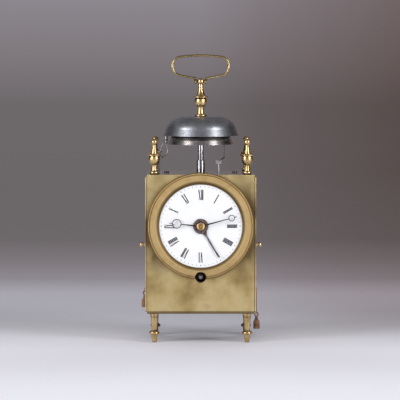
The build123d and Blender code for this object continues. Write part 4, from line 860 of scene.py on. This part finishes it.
def hanging_cord(name, silk):
    """A straight twisted cord in place of the plain one, which is hidden."""
    low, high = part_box(name)
    middle = (low + high) / 2
    top, bottom = plumb(middle, high.z), plumb(middle, low.z)
    shape = bmesh.new()
    twisted_cord(shape, top, bottom, (high.x - low.x) / 2)
    piece = new_piece(f"{name}_plies", shape, silk, None)
    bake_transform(piece)
    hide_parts(name)


def tassel(name, silk, seed):
    """A knot of cord, a bound neck and a skirt of loose threads."""
    draw = random.Random(seed)
    low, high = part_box(name)
    middle = (low + high) / 2
    radius = (high.x - low.x) / 2
    neck_top = high.z - 2 * knot_radius + tuck
    skirt_top = neck_top - neck_length
    shape = bmesh.new()
    knot_ring(shape, plumb(middle, high.z - knot_radius))
    binding(shape, middle, neck_top, skirt_top)
    skirt_core(shape, middle, skirt_top + tuck, low.z + core_short, radius * core_share)
    for thread in range(tassel_threads):
        turn = 2 * math.pi * (thread + draw.uniform(-0.3, 0.3)) / tassel_threads
        skirt_thread(shape, middle, turn, skirt_top, low.z, radius - thread_radius, draw)
    piece = new_piece(f"{name}_threads", shape, silk, name)
    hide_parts(name)


def knot_ring(shape, centre):
    """A ring of two twisted plies, in the plane that faces the front."""
    steps = 40
    for ply in range(2):
        path = []
        for step in range(steps):
            angle = 2 * math.pi * step / steps
            twist = 2 * math.pi * (ply / 2 + knot_turns * step / steps)
            reach = knot_radius - knot_cord + knot_swing * knot_cord * math.cos(twist)
            across = knot_sway * knot_cord * math.sin(twist)
            path.append(centre + Vector((reach * math.cos(angle), across, reach * math.sin(angle))))
        closed_tube(shape, path, knot_ply * knot_cord, 6)


def closed_tube(shape, path, radius, sides):
    """A tube along a closed path that lies about in a plane across Y."""
    rows = []
    for index, middle in enumerate(path):
        along = (path[(index + 1) % len(path)] - path[index - 1]).normalized()
        first = along.cross(Vector((0, 1, 0))).normalized()
        rows.append(hoop(shape, middle, first, along.cross(first), radius, sides))
    for low, high in zip(rows, rows[1:] + rows[:1]):
        skin(shape, low, high)


def binding(shape, middle, top, bottom):
    """Thread wound round the neck in close turns, over a solid core."""
    turns = (top - bottom) / (2 * binding_thread)
    steps = int(turns * 14)
    path = []
    for step in range(steps + 1):
        angle = 2 * math.pi * turns * step / steps
        swell = neck_radius + binding_swell * math.sin(math.pi * step / steps)
        around = Vector((math.cos(angle), math.sin(angle), 0)) * swell
        path.append(plumb(middle, top + (bottom - top) * step / steps) + around)
    tube(shape, path, [binding_thread] * len(path), 5)
    core = [plumb(middle, top + 0.3 * MM), plumb(middle, bottom - 0.3 * MM)]
    tube(shape, core, [neck_radius] * 2, 12)


def skirt_core(shape, middle, top, bottom, radius):
    """The dark inside of the skirt, behind its threads."""
    rows = ((0.0, 0.4), (0.12, 0.72), (0.35, 0.9), (1.0, 1.0))
    path = [plumb(middle, top + (bottom - top) * share) for share, _ in rows]
    tube(shape, path, [radius * width for _, width in rows], 20)


def skirt_thread(shape, middle, turn, top, bottom, outer, draw):
    """One thread from the neck over the shoulder to the hem, a little wavy."""
    lean, wave, phase = draw.uniform(-0.1, 0.1), draw.uniform(0.1, 0.3) * MM, draw.uniform(0, 6.28)
    length = draw.uniform(0.93, 1.0) * (top - bottom)
    path, radii = [], []
    steps = 12
    for step in range(steps + 1):
        share = step / steps
        spread = outer * (0.35 + 0.65 * min(1.0, 4.5 * share) ** 0.6) * (0.9 + 0.1 * share)
        reach = min(spread + wave * 0.5 * math.sin(phase + 7 * share), outer)
        angle = turn + lean * share
        around = Vector((math.cos(angle), math.sin(angle), 0)) * reach
        path.append(plumb(middle, top - length * share) + around)
        radii.append(thread_radius * (1 - 0.35 * share**3))
    tube(shape, path, radii, 5)


# Stage, camera and light


def stage_shade():
    """The floor's and the wall's greys.

    The floor is pale before the clock and darker and darker behind it. The wall is paler higher up
    and dark on its sides. Behind the clock both are dimmer and warmer on the right. The far floor
    and the wall show their own colour to the camera and in the metals, however little light
    reaches them.
    """
    finish = Finish("stage_grey")
    axes = finish.axes()
    depth, height = axes[1], axes[2]
    floor = finish.ramp(
        finish.span(depth, floor_first, floor_last),
        (0.0, rgb(242, 242, 249)),
        (0.2, rgb(242, 242, 249)),
        (0.25, rgb(237, 236, 244)),
        (0.3, rgb(235, 234, 243)),
        (0.34, rgb(220, 219, 227)),
        (0.37, rgb(206, 205, 213)),
        (0.43, rgb(188, 186, 195)),
        (0.5, rgb(177, 174, 183)),
        (0.57, rgb(142, 137, 144)),
        (0.67, rgb(125, 119, 123)),
        (0.8, rgb(109, 104, 106)),
        (1.0, rgb(108, 103, 105)),
    )
    back = finish.ramp(
        finish.span(height, 0.0, wall_last),
        (0.0, rgb(109, 104, 106)),
        (0.34, rgb(109, 104, 106)),
        (0.6, rgb(126, 120, 124)),
        (1.0, rgb(142, 137, 144)),
    )
    aside = finish.calc("ABSOLUTE", axes[0])
    wall = finish.blend(finish.span(aside, 0.45 * wall_radius, 0.85 * wall_radius), back, rgb(48, 46, 48))
    tone = finish.blend(finish.span(height, 0.0, 0.05), floor, wall)
    uneven = finish.ramp(
        finish.span(axes[0], 0.0, 0.5),
        (0.0, rgb(255, 255, 255)),
        (0.3, rgb(236, 230, 228)),
        (1.0, rgb(205, 190, 182)),
    )
    tone = finish.blend(finish.span(depth, -0.1, 0.3), tone, finish.times(tone, uneven))
    far = finish.span(finish.calc("MAXIMUM", depth, finish.calc("MULTIPLY", height, 20.0)), 0.25, 0.7)
    glow = finish.calc("MULTIPLY", far, finish.seen())
    finish.set(
        base_color=finish.blend(glow, tone, rgb(0, 0, 0)),
        roughness=0.8,
        specular_ior_level=0.0,
        emission_color=tone,
        emission_strength=glow,
    )
    return finish.material


def bowl():
    """A floor with a round wall, so that every view has the same ground and background."""
    bend = wall_radius - floor_radius
    profile = [(0.5 * floor_radius, 0.0), (floor_radius, 0.0)]
    for step in range(1, wall_steps + 1):
        angle = math.pi / 2 * step / wall_steps
        profile.append((floor_radius + bend * math.sin(angle), bend * (1 - math.cos(angle))))
    profile.append((wall_radius, wall_height))
    shape = bmesh.new()
    right, back = Vector((1, 0, 0)), Vector((0, 1, 0))
    rows = []
    for radius, height in profile:
        rows.append(hoop(shape, Vector((0, 0, height)), right, back, radius, wall_sides))
    shape.faces.new(rows[0])
    for low, high in zip(rows, rows[1:]):
        skin(shape, high, low)
    mesh = bpy.data.meshes.new("stage")
    shape.to_mesh(mesh)
    shape.free()
    mesh.polygons.foreach_set("use_smooth", [True] * len(mesh.polygons))
    mesh.materials.append(stage_shade())
    stage = bpy.data.objects.new("stage", mesh)
    bpy.context.scene.collection.objects.link(stage)


def soft_box(name, place, size, power, colour, mirrored=True):
    """A rectangular lamp that faces the clock. The camera doesn't see it, and metals may not."""
    data = bpy.data.lights.new(name, "AREA")
    data.shape = "RECTANGLE"
    data.size, data.size_y = size
    data.energy = power
    data.color = colour
    lamp = bpy.data.objects.new(name, data)
    lamp.location = place
    toward = Vector((0, 0, clock_middle)) - Vector(place)
    lamp.rotation_euler = toward.to_track_quat("-Z", "Y").to_euler()
    lamp.visible_camera = False
    lamp.visible_glossy = mirrored
    bpy.context.scene.collection.objects.link(lamp)


def lamps():
    """Two tall soft boxes before the clock, which its metals mirror, and four softer fills.

    The fills are two boxes behind the clock, one above and before it, and one above and behind it.
    """
    cool, warm = (0.97, 0.98, 1.0), (1.0, 0.98, 0.95)
    for side in (-1, 1):
        soft_box(f"front_box_{side}", (1.45 * side, -1.2, 0.68), (0.75, 1.3), 25, cool)
        soft_box(f"rear_box_{side}", (1.1 * side, 1.6, 0.72), (0.9, 1.0), 9, cool, mirrored=False)
    soft_box("top_light", (0, -1.2, 2.0), (1.6, 1.2), 14, warm, mirrored=False)
    soft_box("back_light", (0, 1.8, 1.6), (1.6, 0.7), 8, cool, mirrored=False)


def sky():
    """A dim even surround, brighter in the metals."""
    world = bpy.data.worlds.new("surround")
    bpy.context.scene.world = world
    world.use_nodes = True
    nodes, links = world.node_tree.nodes, world.node_tree.links
    strength = nodes.new("ShaderNodeMapRange")
    links.new(nodes.new("ShaderNodeLightPath").outputs["Is Glossy Ray"], strength.inputs["Value"])
    strength.inputs["To Min"].default_value = sky_fill
    strength.inputs["To Max"].default_value = sky_gloss
    background = nodes["Background"]
    background.inputs["Color"].default_value = rgb(250, 250, 255)
    links.new(strength.outputs[0], background.inputs["Strength"])


def camera():
    """The photograph's view: from the front, far off, looking a little down."""
    data = bpy.data.cameras.new("camera")
    data.lens, data.sensor_width = camera_lens, camera_sensor
    data.clip_end = camera_reach
    eye = bpy.data.objects.new("camera", data)
    back = camera_distance * math.cos(camera_pitch)
    up = camera_distance * math.sin(camera_pitch)
    eye.location = (camera_aside, -back, camera_focus_height + up)
    eye.rotation_euler = (math.pi / 2 - camera_pitch, 0, 0)
    bpy.context.scene.collection.objects.link(eye)
    bpy.context.scene.camera = eye


looks = materials()
dress(looks)
black = dial_black()
dial = Dial()
numerals(dial, black)
minute_dots(dial, black)
for side, seed in (("left", 3), ("right", 8)):
    hanging_cord(f"{side}_cord", looks["cord"])
    tassel(f"{side}_tassel", looks["tassel"], seed)
bowl()
lamps()
sky()
camera()
bpy.context.scene.view_settings.view_transform = "Standard"
